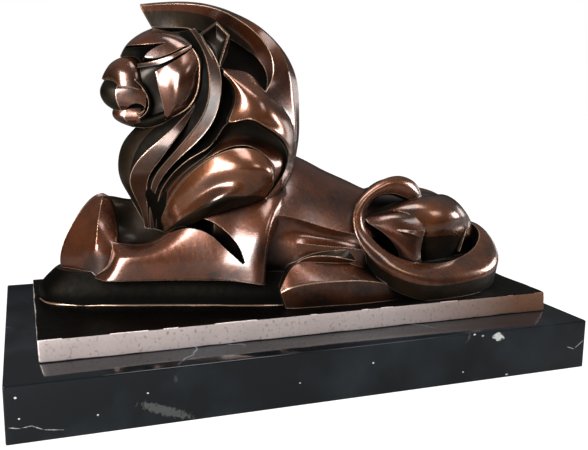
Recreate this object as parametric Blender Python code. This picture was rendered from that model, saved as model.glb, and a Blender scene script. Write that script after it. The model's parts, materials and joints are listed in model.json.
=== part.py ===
"""A reclining lion in an angular 1920s manner, cast in bronze in one with its plate, on a marble plinth.

Metres, +Z up. The origin is the middle of the plinth's underside, +X runs along the plinth
towards the lion's tail and -Y is the side that shows its face and its curled tail.

The lion is drawn in a frame of its own: x runs from nose to tail, y = 0 is its plane of
symmetry, z = 0 is the top of the bronze plate. One unit there is one 365th of its length, so
every point below is a share of LION_LENGTH. Each form is a closed loft: a few rails, which are
the edges and swells a carver would draw, run side by side, and sections span them.
"""

import math

import bmesh
import bpy
import numpy as np
from mathutils import Matrix

# Driving dimensions
PLINTH_LENGTH = 0.420
PLINTH_WIDTH = 0.245
PLINTH_HEIGHT = 0.0375
PLINTH_EDGE = 0.0012
PLATE_LENGTH = 0.384
PLATE_WIDTH = 0.164
PLATE_HEIGHT = 0.0154
PLATE_EDGE = 0.0010
PLATE_FORWARD = 0.009
PLATE_RIGHT = 0.003
SEAT_GAP = 0.0003
LION_LENGTH = 0.365
LION_FORWARD = 0.002
LION_TURN = math.radians(-3.8)

# One unit of the lion's frame
UNIT = LION_LENGTH / 365

# How finely the lofts are cut
ALONG_COUNT = 9
ACROSS_COUNT = 2


def natural_cubic(knots, values, at):
    """The smooth curve through values at knots, read at the places in at."""
    count = len(knots)
    gaps = np.diff(knots)
    slopes = np.diff(values, axis=0) / gaps[:, None]
    matrix = np.eye(count)
    right = np.zeros_like(values)
    for i in range(1, count - 1):
        matrix[i, i - 1:i + 2] = gaps[i - 1], 2 * (gaps[i - 1] + gaps[i]), gaps[i]
        right[i] = 3 * (slopes[i] - slopes[i - 1])
    bend = np.linalg.solve(matrix, right)
    first = slopes - gaps[:, None] * (2 * bend[:-1] + bend[1:]) / 3
    third = np.diff(bend, axis=0) / (3 * gaps[:, None])
    span = np.clip(np.searchsorted(knots, at, "right") - 1, 0, count - 2)
    t = (at - knots[span])[:, None]
    return values[span] + t * (first[span] + t * (bend[span] + t * third[span]))


def rail(points, count=None):
    """A smooth rail through a few points, cut into even lengths."""
    count = count or ALONG_COUNT
    points = np.array(points, float)
    chords = np.linalg.norm(np.diff(points, axis=0), axis=1)
    knots = np.concatenate([[0], np.cumsum(np.sqrt(np.maximum(chords, 1e-6)))])
    fine = natural_cubic(knots, points, np.linspace(0, knots[-1], 24 * len(points)))
    run = np.concatenate([[0], np.cumsum(np.linalg.norm(np.diff(fine, axis=0), axis=1))])
    at = np.linspace(0, run[-1], count)
    return np.stack([np.interp(at, run, fine[:, k]) for k in range(3)], axis=1)


def span_rails(rails, sharp, across):
    """Sections over the rails: crisp at the sharp ones, smooth over the others.

    Two sharp rails side by side have a flat strip between them, in one part."""
    count, steps = rails.shape[:2]
    flat = rails.reshape(count, -1)
    if not sharp:
        order = [i % count for i in range(-3, count + 4)]
        runs = [(order, 3, 3 + count)]
    else:
        ends = sorted(sharp)
        runs = []
        for a, b in zip(ends, ends[1:] + [ends[0] + count]):
            order = [i % count for i in range(a, b + 1)]
            runs.append((order, 0, len(order) - 1))
    rows = []
    for order, start, stop in runs:
        points = flat[order]
        chords = np.linalg.norm(np.diff(rails[order], axis=0), axis=2).mean(axis=1)
        knots = np.concatenate([[0], np.cumsum(np.maximum(chords, 1e-6))])
        parts = across if len(order) > 2 else 1
        at = np.concatenate([np.linspace(knots[k], knots[k + 1], parts, endpoint=False)
                             for k in range(start, stop)])
        rows.append(natural_cubic(knots, points, at))
    return np.concatenate(rows).reshape(-1, steps, 3)


def loft(name, rails, sharp=(), across=None, along=None, whole=False, far=False):
    """A closed body over rails. whole: the rails run from the top of the middle plane to its
    bottom, and the far half is their mirror image. far: the mirror image of the whole form."""
    rails = np.stack([rail(points, along) for points in rails])
    if whole:
        middle = rails[1:-1][::-1] * (1, -1, 1)
        sharp = set(sharp) | {2 * (len(rails) - 1) - i for i in sharp if 0 < i < len(rails) - 1}
        rails = np.concatenate([rails, middle])
    if far:
        rails = rails * (1, -1, 1)
    return closed_skin(name, span_rails(rails, sharp, across or ACROSS_COUNT))


def closed_skin(name, skin):
    """A closed body from rows of points: each row is a line along it, and they lie round it."""
    around, steps = skin.shape[:2]
    mesh = bpy.data.meshes.new(name)
    faces = [(j * steps + i, (j + 1) % around * steps + i,
              (j + 1) % around * steps + i + 1, j * steps + i + 1)
             for j in range(around) for i in range(steps - 1)]
    faces += [[j * steps for j in range(around)],
              [j * steps + steps - 1 for j in reversed(range(around))]]
    mesh.from_pydata((skin.reshape(-1, 3) * UNIT).tolist(), [], faces)
    form = bmesh.new()
    form.from_mesh(mesh)
    bmesh.ops.remove_doubles(form, verts=form.verts, dist=0.02 * UNIT)
    bmesh.ops.dissolve_degenerate(form, edges=form.edges, dist=0.01 * UNIT)
    caps = [face for face in form.faces if len(face.verts) > 4]
    bmesh.ops.poke(form, faces=caps)
    bmesh.ops.recalc_face_normals(form, faces=form.faces)
    form.to_mesh(mesh)
    form.free()
    piece = bpy.data.objects.new(name, mesh)
    bpy.context.scene.collection.objects.link(piece)
    return piece


def moved(points, by):
    """The points, moved by one step."""
    return [tuple(np.add(point, by)) for point in points]


def between(first, second, share, by=(0, 0, 0)):
    """A rail between two others that have as many points, moved by one step."""
    return [tuple(np.array(a) * (1 - share) + np.array(b) * share + by)
            for a, b in zip(first, second)]


def pair(name, rails, **options):
    """A form on the near side and its mirror image on the far side."""
    return [loft(name + "_near", rails, **options),
            loft(name + "_far", rails, far=True, **options)]


def base_mass():
    """The low mass that carries the body, pointed in front like a prow."""
    outline = [(-184, 0), (-178, -14), (-169, -21), (-136, -32), (-66, -49), (-20, -61),
               (30, -64), (100, -60), (150, -48), (178, -25), (184, 0)]
    rails = [[(x, y, -3), (x * 1.008, y, 4), (x * 1.008, y, 9), (x * 0.985, y * 0.95, 16),
              (x * 0.94, y * 0.88, 24)] for x, y in outline]
    return [loft("base_mass", rails, sharp=(0, 10), whole=True, along=4)]


def torso():
    """Back, flanks and rump, with a ridge along each flank and a scoop below it."""
    spine = [(-60, 0, 95), (-10, 0, 107), (14, 0, 104.5), (35, 0, 94), (57, 0, 84), (75, 0, 76),
             (100, 0, 73), (129, 0, 72), (146, 0, 68), (158, 0, 62), (170, 0, 49), (179, 0, 28)]
    upper = [(-60, -30, 85), (-10, -34, 93), (14, -33, 92), (35, -33, 83), (57, -33, 75),
             (75, -32, 70), (100, -30, 67), (129, -28, 65), (146, -24, 61), (158, -19, 54),
             (169, -12, 42), (178, -7, 26)]
    ridge = [(-60, -48, 70), (-10, -56, 66), (5, -57, 62), (26, -58, 55), (42, -57, 51),
             (60, -53, 47), (80, -42, 45), (129, -38, 44), (146, -34, 42), (158, -27, 38),
             (168, -18, 31), (177, -10, 22)]
    scoop = [(-60, -46, 55), (-10, -53, 56), (5, -54, 52), (26, -55, 47.5), (42, -54, 45),
             (60, -49, 42), (80, -39, 40), (129, -36, 36), (146, -32, 33), (158, -25, 29),
             (168, -17, 24), (177, -9, 18)]
    hem = [(-60, -42, 46), (-10, -54, 46), (5, -60, 45), (26, -62.5, 42), (42, -62, 40),
           (60, -53, 36), (80, -41, 32), (129, -38, 28), (146, -34, 25), (158, -27, 21),
           (168, -18, 17), (177, -9, 14)]
    foot = [(-60, -38, 8), (-10, -44, 8), (5, -48, 8), (26, -52, 8), (42, -52, 8), (60, -48, 8),
            (80, -40, 8), (129, -38, 8), (146, -34, 8), (158, -28, 8), (168, -19, 8), (177, -10, 8)]
    floor = [(x, 0, 4) for x, _, _ in foot]
    rails = [spine, upper, ridge, scoop, hem, foot, floor]
    return [loft("torso", rails, sharp=(2, 4, 6), whole=True, along=11)]


def haunch():
    """The swelling of the rump over the hind leg, with a ledge round it and a wall set back below."""
    top = [(74, -30, 64), (88, -32, 69), (104, -32, 72), (124, -24, 73), (143, -12, 70),
           (156, -10, 60), (164, -12, 48)]
    swell = [(76, -44, 60), (88, -51, 61), (104, -56, 62), (122, -55.5, 61.5), (138, -48, 57.5),
             (148, -38, 52), (154, -30, 46)]
    ledge = [(80, -42, 52), (90, -50, 51), (104, -57, 50), (120, -56.5, 50), (135, -48, 48),
             (146, -38, 44), (153, -30, 38)]
    lower = [(82, -40, 46), (92, -48, 46), (104, -54.5, 45), (119, -54, 45), (134, -46, 43),
             (145, -36.5, 39), (152, -29, 34)]
    wall = [(84, -34, 10), (92, -42, 10), (104, -47, 10), (118, -46, 10), (132, -40, 10),
            (142, -33, 10), (149, -26, 10)]
    floor = [(82, -20, 10), (92, -16, 10), (104, -14, 10), (120, -10, 10), (135, -6, 10),
             (146, -4, 10), (153, -4, 10)]
    back = [(78, -24, 58), (90, -20, 60), (104, -14, 62), (122, -6, 64), (143, 0, 62),
            (154, 0, 52), (162, -2, 44)]
    return pair("haunch", [top, swell, ledge, lower, wall, floor, back], sharp=(4, 5, 6), along=8)


def shank():
    """The blade of the thigh in front of the haunch, narrowing down to the lower leg."""
    front = [(103, -38, 69.6), (88, -38, 67), (72, -39, 64.4), (62, -46, 63), (55.5, -52, 59.6),
             (64.5, -56, 52.6), (73.8, -58, 44.6), (79.4, -58, 36.8), (81.5, -58, 31.7),
             (83, -58, 12)]
    swell = [(105, -39, 69.4), (96, -42, 67), (89, -48, 65), (84, -52.3, 62.5), (82, -55, 59),
             (82, -57.5, 52), (86.5, -60, 45), (89.5, -61.5, 37), (90.5, -62, 31.7), (92, -61, 12)]
    rear = [(107, -40, 69), (106.5, -45, 67), (106, -50, 64.5), (105.5, -54.4, 61), (104, -56, 57),
            (102.5, -58, 51.5), (100, -60, 46), (99, -59, 38), (99.5, -58, 32), (102, -57, 12)]
    inner = [(100, -20, 66), (100, -20, 64), (100, -20, 61), (100, -21, 58), (99, -22, 55),
             (97, -24, 50), (94, -26, 45), (94, -28, 38), (95, -30, 32), (96, -32, 12)]
    return pair("shank", [front, swell, rear, inner], sharp=(0, 2, 3))


def hind_foot():
    """The long hind foot, with a ridge along its outer side."""
    ridge = [(-16, -71, 12), (-9, -74, 16), (5, -75, 18.5), (25, -75, 19), (45, -74, 18),
             (66, -71, 14), (84, -66, 9)]
    brow = [(-16, -70, 14), (-9, -65, 25), (0, -61, 31), (21, -59, 31.5), (42, -58, 30),
            (60, -58, 22), (82, -58, 12)]
    inner = [(-13, -50, 14), (-8, -46, 24), (0, -44, 30), (21, -44, 30), (42, -44, 28),
             (60, -44, 20), (80, -44, 10)]
    sole_in = [(-12, -50, -2), (-8, -46, -2), (0, -44, -2), (21, -44, -2), (42, -44, -2),
               (60, -44, -2), (80, -44, -2)]
    sole = [(-11, -70, -2), (-5, -72, -2), (5, -72, -2), (25, -72, -2), (45, -72, -2),
            (66, -70, -2), (84, -66, -2)]
    return pair("hind_foot", [ridge, brow, inner, sole_in, sole], sharp=(0, 1, 2, 3, 4))


def tail():
    """The tail, which leaves the rump, lies round the haunch and ends over the back."""
    crest = [(160, -2, 46), (175, -10, 42), (180, -28, 32), (176, -44, 22), (160, -58, 17),
             (132, -70, 16), (105, -77, 16), (84, -79, 20), (63, -76, 28), (49, -69, 40),
             (42, -62, 58), (46, -56, 72), (57, -50, 82), (71, -45, 89), (85, -41, 91.5),
             (98, -37, 88), (107, -34, 81), (110, -33, 74)]
    face = [(158, -2, 47), (171, -11, 46), (175, -27, 37), (169, -42, 29), (154, -54, 23.5),
            (128, -65, 22), (103, -72, 22), (80, -74, 27), (62, -72, 37), (51, -66, 48),
            (47, -61, 61), (51, -57, 72), (60, -53, 80), (71, -50, 85), (83, -47, 86.5),
            (95, -43, 83), (104, -39, 77), (108, -37, 73)]
    inner = [(155, -2, 46), (166, -12, 46), (167, -26, 41), (159, -38, 34), (146, -48, 29),
             (124, -58, 25), (100, -64, 26), (78, -66, 32), (60, -64, 44), (52, -60, 55),
             (51, -57, 64), (55, -54, 71), (62, -51, 76), (71, -48, 78.5), (81, -45, 78),
             (91, -42, 75), (99, -40, 71.5), (105, -37, 70)]
    under = [(156, 2, 34), (164, -8, 32), (164, -22, 27), (156, -34, 20), (143, -44, 14),
             (122, -52, 10), (100, -57, 10), (80, -58, 18), (66, -55, 32), (60, -50, 46),
             (58, -46, 60), (61, -42, 68), (67, -38, 73), (74, -34, 76), (83, -31, 76),
             (92, -29, 73), (100, -29, 70), (105, -30, 69)]
    keel = [(160, 4, 30), (174, -6, 28), (178, -26, 16), (172, -46, 6), (158, -59, 1),
            (132, -71, -1), (106, -76, -1), (82, -75, 4), (62, -68, 16), (51, -58, 34),
            (48, -50, 54), (51, -42, 69), (60, -35, 79), (72, -31, 86), (86, -28, 88),
            (98, -27, 84), (106, -28, 77), (109, -30, 72)]
    wall = between(keel, crest, 0.72, (0, -0.8, 0))
    return [loft("tail", [crest, face, inner, under, keel, wall], sharp=(2, 4), along=25)]


def foreleg():
    """Upper arm and forearm as one mass, with a hooked slot cut between them."""
    hem = [(-140, -36, 20), (-108, -44.5, 20.6), (-82, -51, 20.6), (-64, -56.5, 20.6),
           (-50, -62.5, 20.8), (-32, -71.5, 19.5), (-27, -68, 18), (-25, -54, 16)]
    low = [(-135.5, -35, 28.5), (-107, -44, 31), (-82, -51, 34), (-64, -56.5, 36), (-50, -62, 37),
           (-30, -71.5, 38), (-25, -66, 38), (-22, -51, 38)]
    high = [(-132.5, -31, 38), (-107, -41, 39), (-80, -49, 47), (-60, -53.5, 55), (-44, -57.5, 57),
            (-26, -66, 58), (-19, -60, 59), (-10, -50, 60)]
    brim = [(-131, -26, 46), (-107, -31, 44.5), (-88, -39, 56), (-66, -45, 72), (-44, -44, 84),
            (-28, -46.5, 84), (-14, -47, 82), (-4, -42, 84), (6, -34, 86)]
    inner = [(-132, -8, 42), (-105, -4, 42), (-84, 3, 50), (-58, 3, 60), (-24, 3, 60), (-4, 3, 60)]
    floor = [(-132, -8, 16), (-105, -4, 16), (-84, 3, 16), (-58, 3, 16), (-26, 3, 16), (-14, 3, 16)]
    legs = pair("foreleg", [hem, low, high, brim, inner, floor], sharp=(0, 3, 4, 5))
    return [undercut(leg, cutter, "slot") for leg, cutter in zip(legs, slot_cutters())]


def slot_cutters():
    """The hooked slot between forearm and upper arm, sunk into each side."""
    upper = [(-92, -50, 84), (-78, -54, 76), (-70, -56, 66), (-62, -60, 62.5), (-50, -64, 53),
             (-44, -68, 44), (-41.5, -72, 35)]
    lower = [(-100, -50, 49), (-84, -52, 56.5), (-76, -54, 57.5), (-65, -58, 54), (-57, -62, 47),
             (-51, -66, 41), (-43, -72, 33.5)]
    depth = (0, 34, 0)
    rails = [moved(upper, (0, -12, 0)), moved(lower, (0, -12, 0)), moved(lower, depth),
             moved(upper, depth)]
    return pair("slot", rails, sharp=(0, 1, 2, 3), across=1)


def paw():
    """A tall paw with a ridge between its front and its outer side, which turns in over the toe."""
    front = [(-165, -2, 17), (-169, -2, 24), (-168.5, -2, 36), (-163, -2, 50), (-156, -3, 62),
             (-149, -4, 71), (-142, -6, 76.6), (-136.5, -7, 78)]
    edge = [(-167, -3.5, 20.5), (-162.9, -7.6, 22.4), (-155.3, -15.2, 27.9), (-147.5, -23.3, 33.5),
            (-143.8, -26.6, 42), (-141.5, -22, 58), (-139, -16.5, 70), (-137.3, -11, 76.3),
            (-136.3, -8, 78)]
    side = [(-164, -3, 17), (-156, -11, 17.5), (-148, -19, 18), (-141, -24, 20), (-135.5, -29.5, 26),
            (-132, -31, 36), (-131, -27, 46), (-131, -18, 56), (-131, -12, 67), (-133, -9, 75),
            (-135.8, -7.5, 77.8)]
    rear = [(-128, -8, 17), (-126, -8, 33), (-126, -7, 44), (-126, -6, 56), (-127, -5, 67),
            (-131, -6, 75), (-135.6, -7, 77.8)]
    inner = [(-150, 1, 17), (-152, 1, 24), (-152, 1, 36), (-150, 1, 50), (-146, 1, 62),
             (-142, 0, 70), (-138, -5, 76), (-136.2, -6.6, 77.8)]
    return pair("paw", [front, edge, side, rear, inner], sharp=(0, 1, 3, 4))


def undercut(piece, cutter, step_name):
    """The piece with a cutter taken out of it."""
    step = piece.modifiers.new(step_name, "BOOLEAN")
    step.operation = "DIFFERENCE"
    step.solver = "EXACT"
    step.object = cutter
    return piece


def cradle():
    """The scooped web between the forelegs, from the tips of the paws back to the chest."""
    top = [(-138, 0, 76.5), (-130, 0, 76.5), (-118, 0, 74), (-104, 0, 73), (-90, 0, 66)]
    rim = [(-137, -4, 76), (-130, -4, 74), (-118, -2, 72), (-104, -3, 70), (-90, -4, 62)]
    side = [(-135, -9, 60), (-126, -7, 56), (-116, -6, 54), (-104, -8, 54), (-90, -10, 52)]
    low = [(-133, -18, 46), (-124, -16, 43), (-114, -16, 42), (-102, -18, 44), (-88, -22, 46)]
    foot = [(-132, -27, 41), (-122, -29, 39), (-112, -31, 40), (-100, -34, 42), (-86, -38, 44)]
    floor = [(-132, -26, 16), (-122, -27, 16), (-112, -28, 16), (-100, -30, 16), (-86, -34, 16)]
    middle = [(-138, 0, 12), (-124, 0, 12), (-114, 0, 12), (-102, 0, 12), (-86, 0, 12)]
    return [loft("cradle", [top, rim, side, low, foot, floor, middle], sharp=(4, 5, 6), whole=True,
                 along=5)]


def neck():
    """The smooth mass under the mane, from the tip of the beard up to the crown."""
    front = [(-107, 0, 42), (-113, 0, 68), (-122, 0, 86), (-124.5, 0, 100), (-120, 0, 117),
             (-108, 0, 131), (-98, 0, 148), (-92, 0, 170), (-86, 0, 198)]
    cheek = [(-104, -4, 42), (-109, -9, 68), (-116, -13, 86), (-116, -15, 100), (-109, -18, 117),
             (-96, -21, 131), (-80, -22, 148), (-74, -22, 170), (-78, -8, 198)]
    side = [(-97, -5, 42), (-84, -26, 68), (-76, -32, 86), (-68, -37, 100), (-60, -40, 117),
            (-54, -41, 131), (-48, -38, 148), (-50, -30, 170), (-64, -9, 200)]
    back = [(-92, -4, 42), (-50, -34, 66), (-26, -38, 84), (-14, -36, 100), (-6, -32, 117),
            (-6, -26, 131), (-10, -20, 148), (-22, -14, 168), (-46, -8, 194)]
    nape = [(-90, 0, 42), (-40, 0, 64), (-4, 0, 84), (8, 0, 100), (12, 0, 117), (12, 0, 131),
            (9, 0, 148), (-4, 0, 170), (-36, 0, 194)]
    return [loft("neck", [front, cheek, side, back, nape], whole=True, along=8)]


def chest():
    """The mass behind the shoulder locks, which they are carved out of."""
    front = [(-62, 0, 92), (-60, 0, 108), (-58, 0, 118), (-52, 0, 128), (-44, 0, 138)]
    breast = [(-58, -37, 92), (-56, -40, 108), (-52, -41, 118), (-46, -40, 128), (-40, -35, 138)]
    side = [(-34, -41, 92), (-34, -42, 108), (-32, -41, 118), (-30, -41, 128), (-28, -38, 138)]
    blade = [(-12, -38, 92), (-9, -37, 108), (-8, -36.5, 118), (-9, -36, 128), (-14, -34, 138)]
    back = [(4, 0, 92), (4, 0, 108), (4, 0, 118), (4, 0, 128), (0, 0, 138)]
    return [loft("chest", [front, breast, side, blade, back], whole=True, along=4)]


def crest():
    """The tall plume over the head: a thin web with a thick rim behind."""
    top = [(-105, 0, 217.5), (-83, 0, 220), (-61, 0, 220), (-42, 0, 216), (-23, 0, 208.5),
           (-11, 0, 201), (-1, 0, 192), (7, 0, 182), (13, 0, 170), (16, 0, 157), (17, 0, 140),
           (17, 0, 120), (14, 0, 100)]
    shoulder = [(-105, -1, 217), (-83, -3, 219), (-61, -5, 219), (-42, -7, 215), (-23, -9, 206),
                (-12, -10, 198), (-3, -10, 189), (3, -10, 178), (7, -10, 165), (9, -10, 150),
                (11, -10, 137), (12, -10, 120), (10, -12, 100)]
    edge = [(-105, -1.5, 216), (-83, -5, 218), (-62, -7, 217.5), (-47, -10, 214),
            (-36, -12.5, 209), (-26, -14.5, 202.5), (-18, -16, 195.5), (-12.5, -17, 188),
            (-9.5, -18, 180), (-9, -19, 171), (-12, -20.5, 161.5), (-17, -24, 152),
            (-14, -26, 136), (-4, -26, 116), (0, -26, 100)]
    lip = [(-103, -2, 212), (-82, -6, 213), (-62, -8, 211), (-50, -8, 207), (-38, -8, 200),
           (-28, -8, 193), (-21, -8, 186), (-17, -8, 178), (-17, -8, 168), (-20, -8, 158),
           (-22, -10, 146), (-18, -12, 125), (-12, -14, 100)]
    web = [(-97, -2, 201.4), (-91, -4, 201), (-83, -7, 201), (-76, -9, 201), (-69, -10, 199.5),
           (-62, -10, 191), (-57, -9, 181), (-54, -7, 170), (-53, -7, 158), (-52, -7, 148),
           (-50, -8, 136), (-46, -10, 118), (-42, -12, 100)]
    heart = [(-92, 0, 196), (-84, 0, 194), (-74, 0, 192), (-66, 0, 184), (-60, 0, 176),
             (-55, 0, 171), (-52, 0, 166), (-50, 0, 160), (-50, 0, 152), (-50, 0, 144),
             (-48, 0, 134), (-42, 0, 116), (-40, 0, 100)]
    return [loft("crest", [top, shoulder, edge, lip, web, heart], sharp=(0, 1, 2, 4, 5), whole=True,
                 along=14)]


def ear():
    """A kite-shaped ear with a broad rim round its hollow face."""
    corners = np.array([(-65, -21, 196), (-52, -19, 205.5), (-43.5, -25, 196), (-54, -37, 170)])
    centre = corners.mean(axis=0)
    facing = np.cross(corners[2] - corners[0], corners[1] - corners[3])
    facing /= np.linalg.norm(facing)
    rings = [(1.0, 16), (1.0, 0), (0.82, 0), (0.7, 4), (0.3, 5.5)]
    loops = np.stack([centre + (corners - centre) * share - facing * sink
                      for share, sink in rings], axis=1)
    return [closed_skin("ear_near", loops), closed_skin("ear_far", loops * (1, -1, 1))]


def locks():
    """The long locks of the mane, each a raised band between two crisp edges."""
    bands = {
        "cheek_lock": (
            [(-71, -32, 145), (-84, -35, 132), (-96, -33, 121), (-107, -28, 111), (-115, -23, 100),
             (-117.5, -18, 90), (-115, -14, 80), (-108, -10, 62), (-106, -5, 38)],
            [(-70.5, -31, 144), (-79, -37, 130), (-88, -37, 118), (-96, -32, 106), (-103, -26, 95),
             (-105, -20, 85), (-105, -16, 75), (-104, -12, 62), (-103, -5, 37)]),
        "brow_lock": (
            [(-70, -9.5, 200), (-66, -20, 191), (-62.5, -28, 181), (-61, -34, 170),
             (-61, -38, 159), (-65, -41, 142), (-76, -40, 125), (-89, -35, 109), (-99, -27, 95),
             (-103, -18, 78), (-102, -5, 36)],
            [(-67, -9, 201), (-61, -22, 191), (-56, -31, 181), (-53, -38, 170), (-53, -43, 158),
             (-58, -47, 138), (-70, -46, 121), (-85, -39, 106), (-96, -28, 90), (-100, -18, 74),
             (-99, -5, 35)]),
    }
    pieces = []
    for name, (lower, upper) in bands.items():
        floor = between(lower, upper, 0.25, (0, 16, 0))
        roof = between(lower, upper, 0.75, (0, 16, 0))
        pieces += pair(name, [lower, upper, roof, floor], sharp=(0, 1, 2, 3), along=12)
    return pieces


def swirl():
    """The volute on the shoulder: a swelling crescent round a scooped hollow."""
    outer = [(-52, -38, 171.5), (-42.5, -35, 170.5), (-34, -33, 169.2), (-26, -31, 164.5),
             (-19, -30, 156.5), (-11, -30, 150.5), (-4, -31, 143.5), (2, -32, 131), (4.5, -32, 117.5),
             (3, -36, 103), (-4, -44, 91), (-12, -50, 83)]
    swell = [(-51, -42, 170), (-38, -50, 156), (-27, -53, 147), (-18, -52, 138), (-11, -49, 130),
             (-6, -46, 121), (-2, -45, 112), (-4, -46, 101), (-9, -49, 92), (-14, -52, 85)]
    inner = [(-51, -42, 167), (-45, -45, 160), (-44, -49, 147), (-49, -53, 134), (-38, -57, 136),
             (-24, -56, 131), (-12, -53, 123), (-5, -50, 112), (-8, -50, 98), (-16, -53, 87)]
    sunk = moved(inner, (0, 14, -2))
    keel = moved(outer, (0, 18, -3))
    return pair("swirl", [outer, swell, inner, sunk, keel], sharp=(0, 2, 3, 4), along=14)


def hollow_lock():
    """The lowest lock, which opens into the scooped hollow of the volute."""
    ridge = [(-10, -42, 88), (-3, -42, 99), (-2, -44, 112), (-9, -46, 126), (-22, -49, 135),
             (-37, -51, 140), (-48, -51, 135.5), (-55, -51.5, 128), (-63, -50, 117),
             (-75, -45, 109), (-87, -38, 98), (-95, -27, 84), (-98, -18, 69), (-98, -5, 34)]
    valley = [(-14, -50, 88), (-10, -48.5, 97), (-9, -47, 107), (-17, -44, 116), (-30, -44, 121),
              (-42, -45, 123), (-54, -45, 119), (-64, -44, 110), (-74, -40, 102), (-84, -33, 92),
              (-92, -24, 80), (-95, -16, 67), (-96, -4, 34)]
    rim = [(-18, -51, 86), (-16, -53, 96), (-20, -55, 106), (-28, -57, 113), (-38, -58, 117.5),
           (-50, -57, 116.5), (-60, -55, 112), (-69, -51, 106), (-77, -45, 98), (-85, -37, 87),
           (-90, -27, 76), (-93, -18, 65), (-94, -5, 34)]
    sunk = moved(rim, (0, 14, -6))
    keel = moved(ridge, (0, 16, -4))
    return pair("hollow_lock", [ridge, valley, rim, sunk, keel], sharp=(0, 2, 3, 4), along=14)


def shoulder_knob():
    """The twin-lobed swelling inside the volute."""
    rim = [(-17, -53, 88), (-17, -55, 99), (-26, -58, 111), (-42, -59, 116), (-60, -56, 111),
           (-76, -45.5, 98), (-88, -32, 80), (-95, -16, 60)]
    upper = [(-19, -55, 86), (-21, -61, 96), (-32, -65.8, 101), (-46, -66, 101.5), (-62, -61, 96.5),
             (-76, -49, 86), (-87, -34, 72), (-94, -17, 56)]
    dent = [(-22, -56, 83), (-25, -60.5, 89.5), (-37, -63.6, 92.5), (-50, -63.5, 91.5), (-63, -58, 86.5),
            (-75, -48.2, 77), (-86, -34, 66), (-93, -17, 53)]
    lower = [(-24, -55, 80), (-31, -60, 82), (-42, -64.2, 82.5), (-54, -64.8, 82.5), (-66, -59.5, 78),
             (-76, -48, 70), (-86, -34, 60), (-93, -17, 50)]
    hem = [(-26, -52, 78), (-34, -54, 75), (-44, -54, 73), (-56, -54, 70), (-66, -50, 66),
           (-75, -42, 60), (-85, -30, 54), (-92, -15, 47)]
    inner = moved(hem, (0, 24, 2))
    deep = moved(rim, (0, 24, -2))
    return pair("shoulder_knob", [rim, upper, dent, lower, hem, inner, deep], sharp=(0, 4, 5, 6),
                along=10)


def cheek():
    """The flat, bevelled cheek, which stands free of the recess in front of it."""
    rear = [(-71, -28, 185), (-67, -29.5, 177), (-66.5, -30, 168), (-67.5, -31, 159),
            (-70, -31, 151), (-75, -30, 143.5), (-83, -27.5, 138), (-91, -24.5, 134.5)]
    swell = [(-84, -31.5, 176.5), (-82, -36.5, 167), (-83, -37, 157), (-84, -35, 148.5),
             (-87, -30, 140.5), (-91, -25, 134.8)]
    plane = [(-91, -30.6, 172.5), (-89.5, -33, 162), (-88.6, -32.9, 153), (-88.6, -31.2, 145.5),
             (-91.2, -25, 134.9)]
    front = [(-98, -29, 168.5), (-96, -29.3, 157), (-94, -28.5, 149), (-92, -27, 141),
             (-91.5, -25, 135)]
    inner = [(-92, -10, 166), (-92, -10, 156), (-91, -10, 148), (-90, -8, 141), (-90, -8, 136)]
    deep = [(-64, -10, 182), (-56, -10, 174), (-54, -10, 166), (-56, -10, 154), (-62, -10, 146),
            (-76, -8, 140), (-88, -8, 136)]
    return pair("cheek", [rear, swell, plane, front, inner, deep], sharp=(0, 3, 4, 5))


def cheekbone():
    """The narrow band between the eye and the cheek."""
    high = [(-72, -28, 187.5), (-83, -30.5, 182), (-94, -27.5, 177.5), (-103, -22.5, 175),
            (-109, -17, 174)]
    low = [(-72, -29, 185.5), (-82, -31.5, 180), (-92, -28.5, 175), (-101, -23, 172.5),
           (-109, -17.5, 171.5)]
    return pair("cheekbone", [high, low, moved(low, (0, 12, -1)), moved(high, (0, 12, 1))],
                sharp=(0, 1, 2, 3), across=1, along=7)


def skull():
    """The inner mass of the head, between cheeks, brow and muzzle."""
    top = [(-112, 0, 176), (-104, 0, 182), (-92, 0, 188), (-80, 0, 192), (-68, 0, 190)]
    upper = [(-112, -10, 170), (-104, -15, 174), (-92, -20, 180), (-80, -21, 186), (-68, -18, 184)]
    side = [(-112, -13, 154), (-104, -15.5, 154), (-92, -18, 154), (-80, -22, 154), (-66, -24, 154)]
    lower = [(-112, -9, 138), (-104, -12, 134), (-92, -17, 136), (-80, -22, 142), (-68, -22, 146)]
    under = [(-112, 0, 132), (-104, 0, 130), (-92, 0, 130), (-78, 0, 134), (-64, 0, 140)]
    return [loft("skull", [top, upper, side, lower, under], whole=True, along=5)]


def brow():
    """The domed forehead and upper lids, cut off behind along the rim of the face."""
    top = [(-120.5, 0, 180), (-118.5, 0, 184), (-115, 0, 189), (-110, 0, 193.5), (-104, 0, 197.3),
           (-97, 0, 200.5)]
    dome = [(-120.3, -2, 179.8), (-118, -8, 183.5), (-114, -13, 188.5), (-107, -15, 193),
            (-98, -15, 197), (-88, -14, 198)]
    side = [(-120, -4, 179.5), (-117, -12, 182), (-112, -18, 186), (-105, -22, 188.5),
            (-96, -24, 191.5), (-87, -24, 193.5), (-78, -19.5, 194)]
    lid = [(-119.5, -5, 178.5), (-116, -14, 180), (-112, -20, 181), (-106, -25, 179),
           (-99, -28, 178), (-91, -30, 180), (-82, -31, 184), (-76, -29, 187), (-71, -26, 187.5)]
    inner = [(-118, -2, 176), (-113, -4, 174), (-108, -6, 172), (-102, -8, 172), (-95, -8, 172),
             (-88, -8, 174), (-80, -8, 178), (-74, -8, 182), (-69, -8, 184)]
    under = [(x, 0, z - 1) for x, _, z in inner]
    forehead = loft("brow", [top, dome, side, lid, inner, under], sharp=(3, 4, 5), whole=True,
                    along=8)
    for cutter in eye_cutters():
        undercut(forehead, cutter, "eye")
    return [forehead]


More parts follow.
